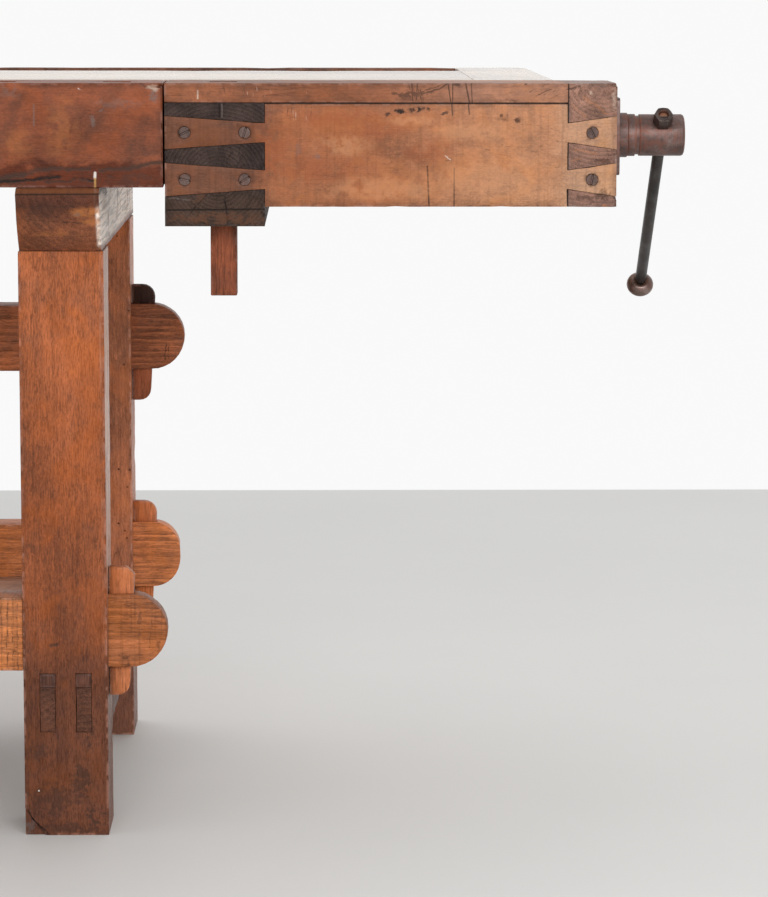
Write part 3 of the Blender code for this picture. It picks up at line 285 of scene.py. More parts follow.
def woodLook(name, plan, low, high):
    g = Graph(name)
    grain, seed, colour = plan["grain"], plan["seed"] * 5.3, plan["colour"]
    wires = dict(zip("XYZ", (g.x, g.y, g.z)))

    def grainNoise(along, across, detail=3.0, rough=0.6, shift=0.0, warp=0.0):
        return g.noise(alongAxis(grain, along, across), detail, rough, seed + shift, warp)

    drift = grainNoise(2.5, 8.0, detail=2.0, rough=0.5) - 0.5
    mottle = grainNoise(*plan["mottleScale"], detail=5.0, rough=0.62, shift=3.0, warp=0.8) - 0.5
    lines = grainNoise(9.0, plan["lineScale"], detail=4.0, rough=0.62, shift=7.0, warp=0.3) - 0.5
    specks = grainNoise(330.0, 520.0, detail=4.0, rough=0.62, shift=13.0) - 0.5
    fibre = grainNoise(70.0, 820.0, shift=11.0) - 0.5
    # growth rings round the pith, which is given from the middle of the piece
    pith = dict(zip("XYZ", (low + high) / 2 + Vector(plan["pith"]) / 1000))
    first, second = (wires[axis] - pith[axis] for axis in "XYZ" if axis != grain)
    wander = grainNoise(2.0, 18.0, rough=0.55, shift=17.0) - 0.5
    radius = (first * first + second * second) ** 0.5 + wander * (plan["ringWander"] / 1000)
    ring = (radius * (1000 / plan["ringGap"])).math("FRACT") - 0.5
    ring = ring * (grainNoise(6.0, 26.0, detail=2.0, rough=0.5, shift=19.0) * 2.0)
    tone = 0.5 + drift * plan["drift"] + mottle * plan["mottle"] + lines * plan["lines"]
    tone = tone + fibre * plan["fibre"] + specks * plan["specks"] - ring * plan["rings"]
    shades = ((0.0, shade(colour, 0.30, 0.15)), (1.0, shade(colour, 1.75, 0.06)),
              (0.3, shade(colour, 0.66, 0.04)), (0.55, shade(colour, 1.04)), (0.8, shade(colour, 1.38)))
    shown = g.ramp(tone.clamped(), shades)
    bumps = g.noise(120.0, detail=4.0, shift=seed + 53) - 0.5
    height = fibre * 0.8 + lines * 0.6 - ring * 0.3 + bumps * 0.8
    if plan["stripes"]:  # stripes across the grain, as rays leave them
        stripe = grainNoise(210.0, 7.0, shift=59.0, warp=0.3).above(0.56, 0.07)
        shown = g.mix(stripe * plan["stripes"], shown, shade(colour, 0.28, 0.1))
    # short dark pores, grey stains and warm polish
    pores = grainNoise(1000 / plan["poreLength"], 950.0, detail=2.0, rough=0.5, shift=31.0)
    pores = pores.above(plan["poreEdge"], 0.05)
    shown = g.mix(pores * plan["pores"], shown, shade(colour, 0.24, 0.2))
    crease = abs(grainNoise(9.0, 75.0, shift=37.0, warp=0.4) - 0.5)
    cracked = g.noise(34.0, shift=seed + 39).above(0.54, 0.06)
    hairs = crease.below(0.010, 0.008) * cracked
    shown = g.mix(hairs * plan["hairs"], shown, shade(colour, 0.22, 0.1))
    if plan["worm"]:  # beetle holes
        cells = g.node("ShaderNodeTexVoronoi", {}, {"Vector": g.place, "Scale": 95.0}, out="Distance")
        eaten = g.noise(30.0, shift=seed + 71).above(0.47, 0.06)
        holes = cells.below(0.13, 0.03) * eaten
        shown = g.mix(holes * plan["worm"], shown, shade(colour, 0.08))
        height = height - holes * 2.0
    stains = g.noise(24.0, detail=5.0, rough=0.64, shift=seed + 41, warp=0.5).above(0.56, 0.09)
    shown = g.mix(stains * plan["stains"], shown, shade(colour, 0.50, 0.55))
    polish = g.noise(17.0, detail=4.0, shift=seed + 43, warp=0.4).above(0.55, 0.10)
    shown = g.mix(polish * plan["polish"], shown, shade(colour, 1.25, -0.25))
    for axis, start, end, times in plan["fades"]:
        start, end = (at(spot, spot, spot)["XYZ".index(axis)] for spot in (start, end))
        rising = g.slope(wires[axis] + mottle * 0.05, min(start, end), max(start, end))
        fade = rising if end > start else 1.0 - rising
        shown = g.mix(fade, shown, g.mix(1.0, shown, times, "MULTIPLY"))
    # dirt along the edges and bare wood where they are rubbed
    edge = nearestEdge(g, low, high)
    dirty = g.noise(48.0, detail=4.0, rough=0.62, shift=seed + 23).above(0.46, 0.12)
    dirt = edge.below(0.004, 0.004) * dirty
    shown = g.mix(dirt * plan["dirt"], shown, shade(colour, 0.25, 0.3))
    bared = g.noise(75.0, detail=4.0, rough=0.62, shift=seed + 47).above(0.52, 0.07)
    rubbed = edge.below(0.0022, 0.0014) * bared
    shown = g.mix(rubbed * plan["rubbed"], shown, shade(colour, 1.6, 0.45))
    # sides that have gone grey, whole or only in their upper part; on the right side of the seen front leg
    # this pale grey is also a painted sheen, where light glances off that side
    for axis, outer, greyAndSheen, *rise in plan["greyAndSheen"]:
        depth = (high if outer else low)["XYZ".index(axis)]
        cloudy = g.noise(30.0, detail=4.0, shift=seed + 67).above(0.36, 0.12)
        bare = abs(wires[axis] - depth).below(0.004, 0.002) * cloudy
        bare = bare * (edge + mottle * 0.01).above(0.006, 0.004)
        if rise:
            bare = bare * g.slope(g.z, rise[0] / 1000, rise[1] / 1000)
        fissures = grainNoise(9.0, 260.0, detail=4.0, rough=0.65, shift=61.0).above(0.53, 0.05)
        tones = ((0.0, shade(greyAndSheen, 0.35, -0.2)), (1.0, shade(greyAndSheen, 1.4, 0.3)), (0.5, greyAndSheen))
        weathered = g.ramp((0.5 + lines * 1.1 + mottle * 0.5).clamped(), tones)
        weathered = g.mix(fissures * 0.6, weathered, shade(greyAndSheen, 0.22))
        shown = g.mix(bare, shown, weathered)
        height = height - fissures * bare * 0.4
    for marked in plan["marks"]:
        shown, height = markedFace(g, shown, height, *marked)
    rough = (plan["rough"] + mottle * 0.35 + fibre * 0.25 + stains * 0.08).clamped()
    sockets = {"Base Color": shown, "Roughness": rough, "Specular IOR Level": plan["gloss"],
               "Coat Weight": plan["wax"], "Coat Roughness": 0.22}
    return g.finish(sockets, height - pores * 0.6 - hairs, plan["bump"], depth=0.0008)


# Worn copies of the CAD planks

def onlySelect(piece):
    if bpy.context.mode != "OBJECT":
        bpy.ops.object.mode_set(mode="OBJECT")
    bpy.ops.object.select_all(action="DESELECT")
    piece.select_set(True)
    bpy.context.view_layer.objects.active = piece


def copyOf(nodeName, name):
    piece = bpy.data.objects.new(name, nodes[nodeName].data.copy())
    piece.data.materials.clear()
    bpy.context.scene.collection.objects.link(piece)
    onlySelect(piece)
    bpy.ops.object.mode_set(mode="EDIT")
    bpy.ops.mesh.select_all(action="SELECT")
    bpy.ops.mesh.remove_doubles(threshold=0.00002)
    bpy.ops.mesh.dissolve_limited(angle_limit=math.radians(1.0))
    bpy.ops.object.mode_set(mode="OBJECT")
    return piece


def cutAcross(piece, axis, spots):
    onlySelect(piece)
    bpy.ops.object.mode_set(mode="EDIT")
    direction = alongAxis(axis, 1.0, 0.0)
    for spot in spots:
        bpy.ops.mesh.select_all(action="SELECT")
        bpy.ops.mesh.bisect(plane_co=tuple(spot * part for part in direction), plane_no=direction)
    bpy.ops.object.mode_set(mode="OBJECT")


def uneven(low, high, step, seed):  # places along a piece, near one step apart
    count = max(1, round((high - low) / step))
    gap = (high - low) / count
    stray = 0.35  # in shares of a step
    return [low + gap * (i + stray * noise.noise(Vector((i * 7.3, seed, 3.1)))) for i in range(1, count)]


def breakCorner(piece, x0, z0, x1, z1, width, setBack):
    # the wood of the front face outside a crack has sunk back a little
    start, end = at(x0, 0, z0), at(x1, 0, z1)
    across = (end - start).cross(Vector((0, 1, 0))).normalized()
    onlySelect(piece)
    bpy.ops.object.mode_set(mode="EDIT")
    for away in (0.0, width / 1000):
        bpy.ops.mesh.select_all(action="SELECT")
        bpy.ops.mesh.bisect(plane_co=start - across * away, plane_no=across)
    bpy.ops.object.mode_set(mode="OBJECT")
    for vert in piece.data.vertices:
        outside = (vert.co - start).dot(across) < -0.9 * width / 1000
        if outside and abs(vert.co.y - start.y) < 0.001:
            vert.co.y += setBack / 1000


wearPlan = {"sharpAngle": 0.7, "cells": 60, "chipCells": 1.3, "chipEdge": 0.30, "chipGain": 1.8}


def wearEdges(piece, plan, knocks):
    # the points of sharp edges move inwards, a little everywhere and deeper at a chip or a knock
    bm = bmesh.new()
    bm.from_mesh(piece.data)
    bm.normal_update()
    moves = {}
    for vert in bm.verts:
        edges = [e for e in vert.link_edges if len(e.link_faces) == 2]
        sharp = [e for e in edges if e.calc_face_angle(0.0) > wearPlan["sharpAngle"]]
        inward = Vector()
        for face in {f for e in sharp for f in e.link_faces}:
            inward -= face.normal
        if inward.length < 0.3:
            continue
        inward.normalize()
        spot = vert.co * wearPlan["cells"] + Vector((1, 2, 3)) * plan["seed"]
        chip = noise.noise(spot * wearPlan["chipCells"] + Vector((9, 4, 7))) - wearPlan["chipEdge"]
        chip = max(0.0, chip) * wearPlan["chipGain"]
        depth = plan["wobble"] * (0.5 + 0.5 * noise.noise(spot)) + plan["chip"] * chip
        for place, radius, deep in knocks:
            depth += deep * max(0.0, 1 - (vert.co - place).length / radius)
        moves[vert] = inward * depth
    for vert, move in moves.items():
        vert.co += move
    bm.to_mesh(piece.data)
    bm.free()


def softenEdges(piece, width):
    onlySelect(piece)
    bevel = piece.modifiers.new("soft edges", "BEVEL")
    bevel.width = width
    bevel.segments = 2
    bevel.limit_method = "ANGLE"
    bevel.angle_limit = math.radians(28)
    bpy.ops.object.modifier_apply(modifier=bevel.name)
    bpy.ops.object.shade_smooth_by_angle(angle=math.radians(32))


def keepInside(piece, nodeName):  # no point stands out of the CAD piece's box
    low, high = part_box(nodeName)
    for vert in piece.data.vertices:
        for axis in range(3):
            vert.co[axis] = min(max(vert.co[axis], low[axis]), high[axis])


def dress(piece, body, material, slotName, *replaced):
    piece.data.materials.clear()
    piece.data.materials.append(material)
    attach(piece, body)
    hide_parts(*replaced)


knockCuts = (-0.6, -0.25, 0.02, 0.27, 0.6)  # extra cuts through a knock, in shares of its radius


def plank(nodeName, body, slotName, *plans):  # later plans win over the earlier ones
    plan = dict(plainWood)
    for more in plans:
        plan.update(more)
    piece = copyOf(nodeName, "worn_" + nodeName)
    low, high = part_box(nodeName)
    knocks = [(at(x, y, z), radius / 1000, deep / 1000) for x, y, z, radius, deep in plan["knocks"]]
    if "crack" in plan:
        breakCorner(piece, *plan["crack"])
    for index, axis in enumerate("XYZ"):
        step = plan["step"] if axis == plan["grain"] else plan["cross"]
        spots = uneven(low[index], high[index], step, plan["seed"])
        for place, radius, deep in knocks:
            spots += [place[index] + radius * part for part in knockCuts]
        cutAcross(piece, axis, spots)
    wearEdges(piece, plan, knocks)
    softenEdges(piece, plan["bevel"])
    keepInside(piece, nodeName)
    dress(piece, body, woodLook(piece.name + "_finish", plan, low, high), slotName, nodeName)


# Base: legs, bearers, foot rails

legPlan = {
    "grain": "Z", "colour": (0.430, 0.150, 0.068), "pith": (40, 100, 0), "rings": 0.08, "pores": 0.30,
    "poreEdge": 0.57, "poreLength": 9.0, "lineScale": 420.0, "lines": 0.45, "mottle": 0.6, "fibre": 0.4,
    "specks": 0.6, "rough": 0.32,
    "fades": (("Z", 620, 360, (0.86, 0.84, 0.84)), ("Z", 300, 140, (0.42, 0.50, 0.68))),
}
seenLegMarks = {
    ("dark", "spot"): (
        (0.75, -58, 216, 7, 4, 1.1), (0.45, -39, 205, 3, 5, 0.8), (0.35, -81, 326, 4, 9),
        (0.3, -13, 328, 3, 8), (0.35, -34, 289, 3, 10), (0.65, -30, 62, 13, 26, 1.2),
        (0.8, -14, 22, 14, 16, 1.0), (0.6, -22, 118, 8, 22, 1.2), (0.45, -80, 96, 14, 12, 1.2),
        (0.5, -60, 40, 40, 20, 1.5), (0.6, -40, 8, 50, 7, 1.2),
    ),
    ("grey", "spot"): ((0.45, -89, 10, 8, 12, 1.0),),
    ("white", "spot"): ((0.9, -77, 51, 1.2, 1.2, 0.3),),
    ("black", "crack"): ((0.95, -94, 34, -82, 17, 1.6), (0.95, -82, 17, -68, 0, 1.8)),
    ("black", "line"): ((0.8, -62, 694, -61, 688, 1.6), (0.8, -20, 694, -20, 689, 1.4)),
    ("dark", "crack"): (
        (0.5, -58, 660, -57, 520, 0.7), (0.45, -28, 600, -29, 430, 0.6), (0.5, -92, 300, -91, 120, 0.8),
    ),
}
seenLeg = {
    "seed": 2.0, "colour": (0.385, 0.115, 0.044), "pores": 0.42, "marks": (("Y", 0, seenLegMarks),),
    # its right side is painted pale grey in the upper part: weathering and a painted grazing sheen
    "greyAndSheen": (("X", True, (0.640, 0.400, 0.300), 130, 420),), "crack": (-94, 33, -70, 1, 1.4, 3.0),
    "knocks": ((-93, 0, 0, 16, 3.0), (-60, 0, 0, 9, 2.0), (-12, 0, 0, 10, 2.5)),
}
plank("leg_front_right", "bench", "leg_oak", legPlan, seenLeg)
plank("leg_front_left", "bench", "leg_oak", legPlan, {"seed": 3.0})
# rear legs have worm holes, and their base colour is painted lighter than the front legs' to make up for
# the shade they stand in under the top
rearLegWormAndLightPlan = {"colour": (0.600, 0.215, 0.100), "worm": 0.9, "mottle": 0.9}
for number, side in enumerate(("right", "left")):
    plank(f"leg_rear_{side}", "bench", "leg_oak", legPlan, rearLegWormAndLightPlan, {"seed": 4.0 + number})

bearerPlan = {
    "grain": "Y", "colour": (0.250, 0.086, 0.042), "chip": 0.0012, "pith": (30, 0, 40), "rings": 0.2,
    "mottle": 0.6, "specks": 0.3, "rubbed": 0.15, "bump": 0.25,
    "fades": (("Z", 678, 704, (0.40, 0.42, 0.52)),),
}
silverOak = (0.940, 0.780, 0.660)
noseMarks = {
    ("black", "crack"): ((0.95, -14, 695, -2, 693, 1.0),),
    ("dark", "crack"): (
        (0.9, -33, 693, -20, 695, 0.8), (0.9, -44, 693, -33, 694, 0.8), (0.85, -76, 689, -50, 687, 0.8),
        (0.85, -50, 687, -18, 684, 1.0), (0.6, -88, 702, -30, 704, 2.2), (0.5, -60, 672, -5, 668, 1.2),
    ),
    ("orange", "patch"): ((0.6, -14, 697, 16, 5), (0.5, -9, 687, 14, 5), (0.35, -40, 666, 34, 8)),
    ("grey", "spot"): ((0.4, -25, 695, 5, 3.5, 0.4),),
    ("black", "spot"): ((0.95, -21, 695, 6.5, 4.2, 0.3),),
    # painted shadow line: the black line along the nose's upper edge, under its chamfer; painted highlight:
    # the faint orange line that lightens the chamfer above it
    ("black", "line"): ((0.9, -90, 716.5, -2, 717, 1.5),),
    ("orange", "line"): ((0.16, -91, 720.4, -2, 720.4, 5.0),),
    ("dark", "patch"): ((0.35, -66, 697, 24, 8),),
    ("dark", "spot"): ((0.5, -45, 657, 45, 5, 0.8),),
}
seenBearer = {"seed": 11.0, "greyAndSheen": (("X", True, silverOak),), "marks": (("Y", -44, noseMarks, 26.0),)}
plank("bearer_right", "bench", "bearer_oak", bearerPlan, seenBearer)
leftBearer = {"seed": 12.0, "greyAndSheen": (("X", False, silverOak),)}
plank("bearer_left", "bench", "bearer_oak", bearerPlan, leftBearer)

footPlan = {"grain": "Y", "colour": (0.125, 0.050, 0.030), "rings": 0.2}
footWedgePlan = {"grain": "Z", "colour": (0.120, 0.049, 0.032), "wobble": 0.0001, "chip": 0.0,
                 "bevel": 0.0004}
for number, side in enumerate(("right", "left")):
    plank(f"foot_rail_{side}", "bench", "bearer_oak", footPlan, {"seed": 14.0 + number})
    for place in ("outer", "inner"):
        plank(f"foot_wedge_{side}_{place}", "bench", "end_grain", footWedgePlan, {"seed": 17.0 + number})

# stretchers and their tusks, lighter below and nearly black by the top of the rear leg; the rear high ones
# are painted darker, and their tusks nearly black at the top, as painted shade from the top above them
railPlan = {"grain": "X", "chip": 0.0014, "rings": 0.30, "ringGap": 5.0, "specks": 0.5,
            "poreLength": 12.0, "pores": 0.35, "pith": (0, 90, 70)}
tuskPlan = {"grain": "Z", "chip": 0.0008, "rings": 0.15, "ringGap": 11.0, "pith": (20, 60, 0)}
tenonMarks = {
    ("dark", "spot"): (
        (0.7, 17, 197, 6, 2.5, 1.2), (0.5, 22, 190, 2, 10, 1.2), (0.45, 35, 236, 3, 16, 1.2),
        (0.45, 55, 213, 3, 10, 1.2),
    ),
    ("white", "spot"): ((0.9, 60, 199, 1.3, 1.3, 0.4),),
    ("dark", "crack"): ((0.6, 48, 250, 46, 190, 0.8),),
}
railMarks = {
    ("dark", "crack"): (
        (0.7, -110, 262, -111, 187, 1.0), (0.7, -105, 262, -105, 187, 0.8),
        (0.6, -99, 262, -99, 187, 1.0), (0.5, -117, 262, -116, 187, 0.8),
    ),
}
highTenonMarks = {
    ("dark", "crack"): ((0.7, 43, 496, 42, 474, 1.2), (0.7, 46, 496, 46, 476, 1.0)),
}
railLooks = {
    "front": {"colour": (0.520, 0.180, 0.062), "stripes": 0.35,
              "marks": (("Y", 22, tenonMarks), ("Y", 2, railMarks)),
              "fades": (("X", -20, 20, (0.68, 0.66, 0.72)),)},
    "rear_low": {"colour": (0.600, 0.205, 0.076)},
    # the rear high stretcher's darker colour is painted shade from the top above it
    "rear_high": {"colour": (0.430, 0.142, 0.062), "marks": (("Y", 528, highTenonMarks),)},
}
tuskLooks = {
    "front": {"colour": (0.395, 0.132, 0.053), "rings": 0.5},
    "rear_low": {"colour": (0.500, 0.160, 0.060)},
    # painted shade: the rear high tusks darken to nearly black at their top
    "rear_high": {"colour": (0.340, 0.108, 0.052), "fades": (("Z", 540, 549, (0.14, 0.20, 0.30)),)},
}
for number, rail in enumerate(railLooks):
    plank(f"stretcher_{rail}", "bench", "rail_oak", railPlan, railLooks[rail], {"seed": 21.0 + number})
    for side, seed in (("right", 25.0), ("left", 29.0)):
        more = {"seed": seed + number}
        plank(f"tusk_{rail}_{side}", "bench", "wedge_ash", tuskPlan, tuskLooks[rail], more)
shelfPlan = {"grain": "X", "colour": (0.590, 0.400, 0.320), "wax": 0.4, "step": 0.03, "cross": 0.03,
             "stains": 0.6, "rings": 0.3}
for number in (1, 2):
    plank(f"shelf_board_{number}", "bench", "shelf_pine", shelfPlan, {"seed": 31.0 + number})
print("base done")

# Top

stripMarks = {
    ("dark", "crack"): (
        (0.95, -110, 732, -81, 739, 5.5), (0.9, -81, 739, -54, 744, 4.4),
        (0.85, -54, 744, -12, 743, 3.6), (0.85, -1, 742, 26, 744, 3.4), (0.9, 26, 744, 66, 751, 4.6),
        (0.85, -60, 730, -6, 731, 2.4), (0.6, 4, 736, 50, 737, 1.6), (0.6, 44, 834, 56, 828, 1.6),
        (0.6, -100, 727, -55, 733, 1.4), (0.7, 54, 833, 60, 824, 1.4), (0.3, 22, 834, -26, 762, 10),
        (0.25, -84, 826, -100, 776, 9), (0.22, 50, 800, 30, 756, 8),
    ),
    ("black", "crack"): ((0.9, -110, 729, -44, 735, 3.0), (0.8, -28, 733, -6, 731, 1.6)),
    ("dark", "spot"): (
        (0.5, -92, 731, 26, 5, 0.9), (0.45, 30, 733, 40, 8, 0.8), (0.35, -33, 808, 6, 4, 1.0),
        (0.25, -22, 797, 6, 6, 1.0), (0.35, 45, 770, 6, 12, 1.2),
    ),
    ("grey", "spot"): (
        (0.6, 58, 822, 7, 9, 1.0), (0.55, -9, 795, 4, 8, 0.8), (0.5, -2, 806, 8, 2.5, 0.8),
        (0.3, 20, 813, 30, 6, 1.0), (0.3, -95, 826, 16, 7, 1.0),
    ),
    ("white", "spot"): ((0.85, -21, 829, 3, 1.8, 0.6),),
    ("grey", "line"): ((0.45, -71, 812, -71, 790, 1.6),),
    ("white", "line"): ((0.85, -6, 739, -6, 734, 2.2),),
    ("ochre", "line"): ((0.8, -6, 733, -6, 724, 2.0),),
    ("pale", "spot"): ((0.6, 58, 830, 8, 4, 0.8),),
    ("orange", "patch"): ((0.22, -42, 788, 16, 26), (0.22, -90, 772, 16, 12)),
}
stripPlan = {
    "grain": "X", "seed": 41.0, "colour": (0.252, 0.074, 0.034), "chip": 0.0030, "rings": 0.03,
    "lines": 0.12, "fibre": 0.2, "specks": 0.55, "hairs": 0.15, "pores": 0.08, "bump": 0.2, "stains": 0.3,
    "mottle": 1.15, "mottleScale": (16.0, 27.0), "marks": (("Y", -30, stripMarks),),
    "fades": (("Z", 752, 742, (0.48, 0.40, 0.38)),),
    "knocks": ((66.9, -30, 835, 20, 9.0), (66.9, -30, 812, 7, 3.0), (66.9, -30, 790, 9, 1.4),
               (66.9, -30, 757, 8, 3.4), (66.9, -30, 735, 9, 1.6)),
}
plank("dog_strip", "bench", "top_beech", stripPlan)
topPlan = {"grain": "X", "colour": (0.620, 0.460, 0.330), "wax": 1.0, "rough": 0.30, "pores": 0.3,
           "stains": 0.14, "mottle": 0.45, "polish": 0.1, "dirt": 0.25}
plank("top_slab", "bench", "top_beech", topPlan, {"seed": 42.0, "step": 0.05, "cross": 0.05})
for number, side in enumerate(("right", "left")):
    plank(f"end_cap_{side}", "bench", "top_beech", topPlan, {"seed": 43.0 + number, "grain": "Y"})
trayPlan = {"grain": "X", "seed": 45.0, "colour": (0.200, 0.100, 0.066), "step": 0.1, "cross": 0.05,
            "stains": 0.6}
trayBackPlan = {"seed": 46.0, "colour": (0.230, 0.090, 0.050), "step": 0.03}
runnerPlan = {"seed": 47.0, "colour": (0.300, 0.120, 0.060), "step": 0.1}
plank("tray_floor", "bench", "top_beech", trayPlan)
plank("tray_back", "bench", "top_beech", trayPlan, trayBackPlan)
plank("edge_runner", "bench", "rail_oak", railPlan, runnerPlan)
dogPlan = {"grain": "Z", "colour": (0.235, 0.066, 0.030), "chip": 0.0006, "wobble": 0.0003}
for number, name in enumerate(("strip_dog", "tail_dog")):
    plank(name, name, "dog_beech", dogPlan, {"seed": 48.0 + number})
print("top done")

# Tail vise

carriage = "tail_carriage"
screwSpots = ((90.4, 782.3), (155, 782.3), (90.4, 731.8), (155, 731.8), (530, 782.3), (530, 731.8))
coverMarks = {
    ("pale", "scratches"): ((0.55, 172, 826, 22, 7, 8, 2.6), (0.4, 225, 828, 18, 5, 5, 2.6)),
    ("pale", "line"): ((0.8, 105, 827, 105, 819, 1.4),),
    ("dark", "line"): (
        (0.9, 374, 835, 377, 815, 1.2), (0.9, 379, 835, 379, 815, 1.0), (0.85, 393, 835, 397, 815, 1.4),
        (0.8, 399, 835, 400, 815, 0.9), (0.8, 335, 835, 336, 817, 1.2), (0.75, 341, 835, 340, 818, 1.2),
    ),
    ("dark", "crack"): (
        (0.8, 345, 822, 374, 834, 1.6), (0.7, 346, 825, 366, 834, 1.2), (0.6, 317, 829, 328, 833, 0.9),
        (0.75, 470, 822, 492, 833, 1.0), (0.75, 486, 820, 503, 829, 1.0), (0.6, 462, 826, 474, 831, 0.9),
        (0.45, 120, 830, 200, 828, 0.8),
    ),
    ("dark", "spot"): (
        (0.7, 330, 824, 26, 4, 1.3), (0.75, 385, 833, 6, 4, 1.0), (0.5, 441, 817, 10, 1.6, 1.2),
        (0.3, 120, 825, 30, 4, 1.2),
    ),
    ("dark", "scratches"): (
        (0.8, 340, 825, 22, 12, 12, 3.0), (0.6, 480, 826, 26, 10, -62, 3.0),
        (0.55, 130, 826, 60, 9, 14, 3.0),
    ),
    ("black", "spot"): ((0.8, 458, 834, 2.0, 1.6, 0.5),),
    ("black", "line"): ((0.85, 60, 814.4, 503, 814.4, 1.1),),
}
coverPlan = {
    "grain": "X", "seed": 51.0, "colour": (0.270, 0.096, 0.046), "chip": 0.0022, "rings": 0.05,
    "lines": 0.35, "mottle": 1.1, "mottleScale": (24.0, 36.0), "fibre": 0.25, "bump": 0.25, "pores": 0.12,
    "stains": 0.2, "hairs": 0.4, "marks": (("Y", -30, coverMarks),),
    "fades": (("X", 270, 450, (1.5, 1.95, 2.4)),),
    "knocks": ((69, -30, 813, 9, 3.4), (69, -30, 835, 8, 2.2)),
}
plank("vise_cover", carriage, "vise_fruitwood", coverPlan)
boardMarks = {
    ("pale", "scratches"): ((0.55, 205, 800, 20, 13, 4, 2.4),),
    ("dark", "scratches"): (
        (0.6, 208, 803, 26, 10, -6, 2.6), (0.6, 407, 713, 14, 12, -35, 3.0),
        (0.5, 445, 760, 46, 10, 84, 4.2),
    ),
    ("dark", "line"): (
        (0.95, 352, 746, 354, 701, 1.5), (0.85, 381, 744, 381, 701, 1.2), (0.85, 378, 813, 379, 801, 1.2),
        (0.85, 396, 813, 397, 802, 1.2),
    ),
    ("dark", "crack"): (
        (0.8, 401, 721, 403, 704, 0.8), (0.75, 404, 705, 411, 713, 0.9), (0.5, 288, 803, 295, 797, 0.9),
        (0.5, 412, 784, 424, 785, 0.9), (0.55, 488, 773, 503, 772, 0.9), (0.55, 490, 745, 503, 746, 0.9),
        (0.4, 410, 800, 500, 784, 0.8), (0.5, 398, 767, 420, 764, 0.9), (0.5, 428, 760, 452, 758, 0.9),
        (0.6, 320, 703, 500, 703.5, 1.0),
    ),
    ("dark", "spot"): (
        (0.95, 309, 801, 6.5, 3.0, 0.9), (0.85, 369, 804, 6, 2.0, 0.8), (0.95, 446, 797, 6.5, 4.5, 0.4),
        (0.8, 432, 800, 3.2, 2.2, 0.5), (0.9, 405, 769, 2.0, 1.8, 0.3), (0.5, 374, 752, 5, 1.0, 0.8),
        (0.35, 120, 765, 30, 3, 1.2), (0.3, 140, 790, 16, 5, 1.2), (0.55, 548, 716, 12, 8, 1.0),
        (0.4, 551, 780, 6, 4, 1.0),
    ),
    ("black", "spot"): ((0.95, 323, 805, 9, 3.2, 0.9), (0.95, 342, 808, 13, 3.6, 0.9)),
    ("brown", "spot"): (
        (0.5, 326, 757, 22, 8, 0.9), (0.3, 318, 770, 34, 14, 1.0), (0.5, 441, 798, 16, 6, 0.6),
        (0.5, 475, 768, 3, 2, 0.6), (0.4, 215, 745, 8, 16, 1.0), (0.3, 262, 735, 14, 10, 1.0),
    ),
    ("grey", "spot"): (
        (0.6, 233, 757, 6, 4, 0.8), (0.5, 247, 760, 5, 4, 1.0), (0.35, 213, 764, 4, 8, 1.0),
    ),
    ("white", "crack"): ((0.6, 371, 758, 377, 753, 1.2),),
    ("brown", "crack"): ((0.4, 440, 790, 470, 780, 0.9),),
    ("black", "line"): ((0.9, 60, 813.6, 503, 813.6, 1.3),),
    ("brown", "scratches"): ((0.4, 300, 760, 60, 40, 88, 3.4),),
    ("red", "patch"): (
        (0.45, 190, 765, 22, 34), (0.45, 236, 740, 30, 14), (0.45, 300, 785, 36, 10),
        (0.45, 262, 798, 44, 8), (0.45, 352, 762, 26, 14),
    ),
    ("gold", "patch"): (
        (0.36, 262, 770, 26, 10), (0.36, 300, 722, 46, 12), (0.36, 420, 735, 56, 22),
        (0.36, 395, 785, 40, 10), (0.36, 340, 795, 30, 5),
    ),
    ("orange", "patch"): ((0.22, 320, 740, 30, 14),),
}
# a dark ring of painted shade shows round each screw, where its countersunk head would shade the board
boardMarks["dark", "spot"] += tuple((0.8, x, z, 9.3, 9.3, 0.12) for x, z in screwSpots)
boardPlan = {
    "grain": "X", "seed": 52.0, "colour": (0.306, 0.110, 0.050), "wobble": 0.0005, "chip": 0.0016,
    "bevel": 0.0006, "rings": 0.03, "lines": 0.10, "drift": 0.3, "mottle": 0.55,
    "mottleScale": (36.0, 44.0), "fibre": 0.12, "bump": 0.2, "pores": 0.05, "specks": 0.55,
    "stains": 0.08, "polish": 0.35, "hairs": 0.25, "stripes": 0.2, "marks": (("Y", -30, boardMarks),),
    "fades": (("X", 200, 158, (0.52, 0.56, 0.68)), ("X", 270, 468, (1.42, 1.80, 2.05)),
              ("X", 480, 512, (1.02, 1.20, 1.36)), ("Z", 745, 712, (1.10, 1.16, 1.18))),
}
plank("vise_front_board", carriage, "vise_fruitwood", boardPlan)
plank("vise_floor_board", carriage, "vise_fruitwood", boardPlan, {"seed": 53.0, "marks": (), "fades": ()})

cutEndPlan = {
    "grain": "Y", "drift": 0.8, "mottle": 1.4, "lines": 0.3, "fibre": 0.6, "ringWander": 4.0, "pores": 0.4,
    "stains": 0.25, "polish": 0.0, "dirt": 0.3, "gloss": 0.12,
}
jawMarks = {
    ("black", "crack"): ((0.95, 132, 717, 138, 683, 1.8), (0.8, 114, 716, 95, 694, 1.1)),
    ("black", "line"): ((0.85, 128, 813, 128, 799, 1.4), (0.85, 69, 699, 177, 700, 1.6)),
    ("grey", "line"): ((0.7, 131, 813, 131, 799, 1.0),),
    ("dark", "crack"): ((0.6, 95, 694, 88, 684, 1.0), (0.5, 69, 752, 140, 756, 1.0)),
    ("brown", "spot"): ((0.55, 125, 690, 60, 8, 0.8), (0.4, 105, 713, 10, 6, 1.0)),
    ("grey", "crack"): ((0.5, 69, 712, 100, 709, 1.2),),
}
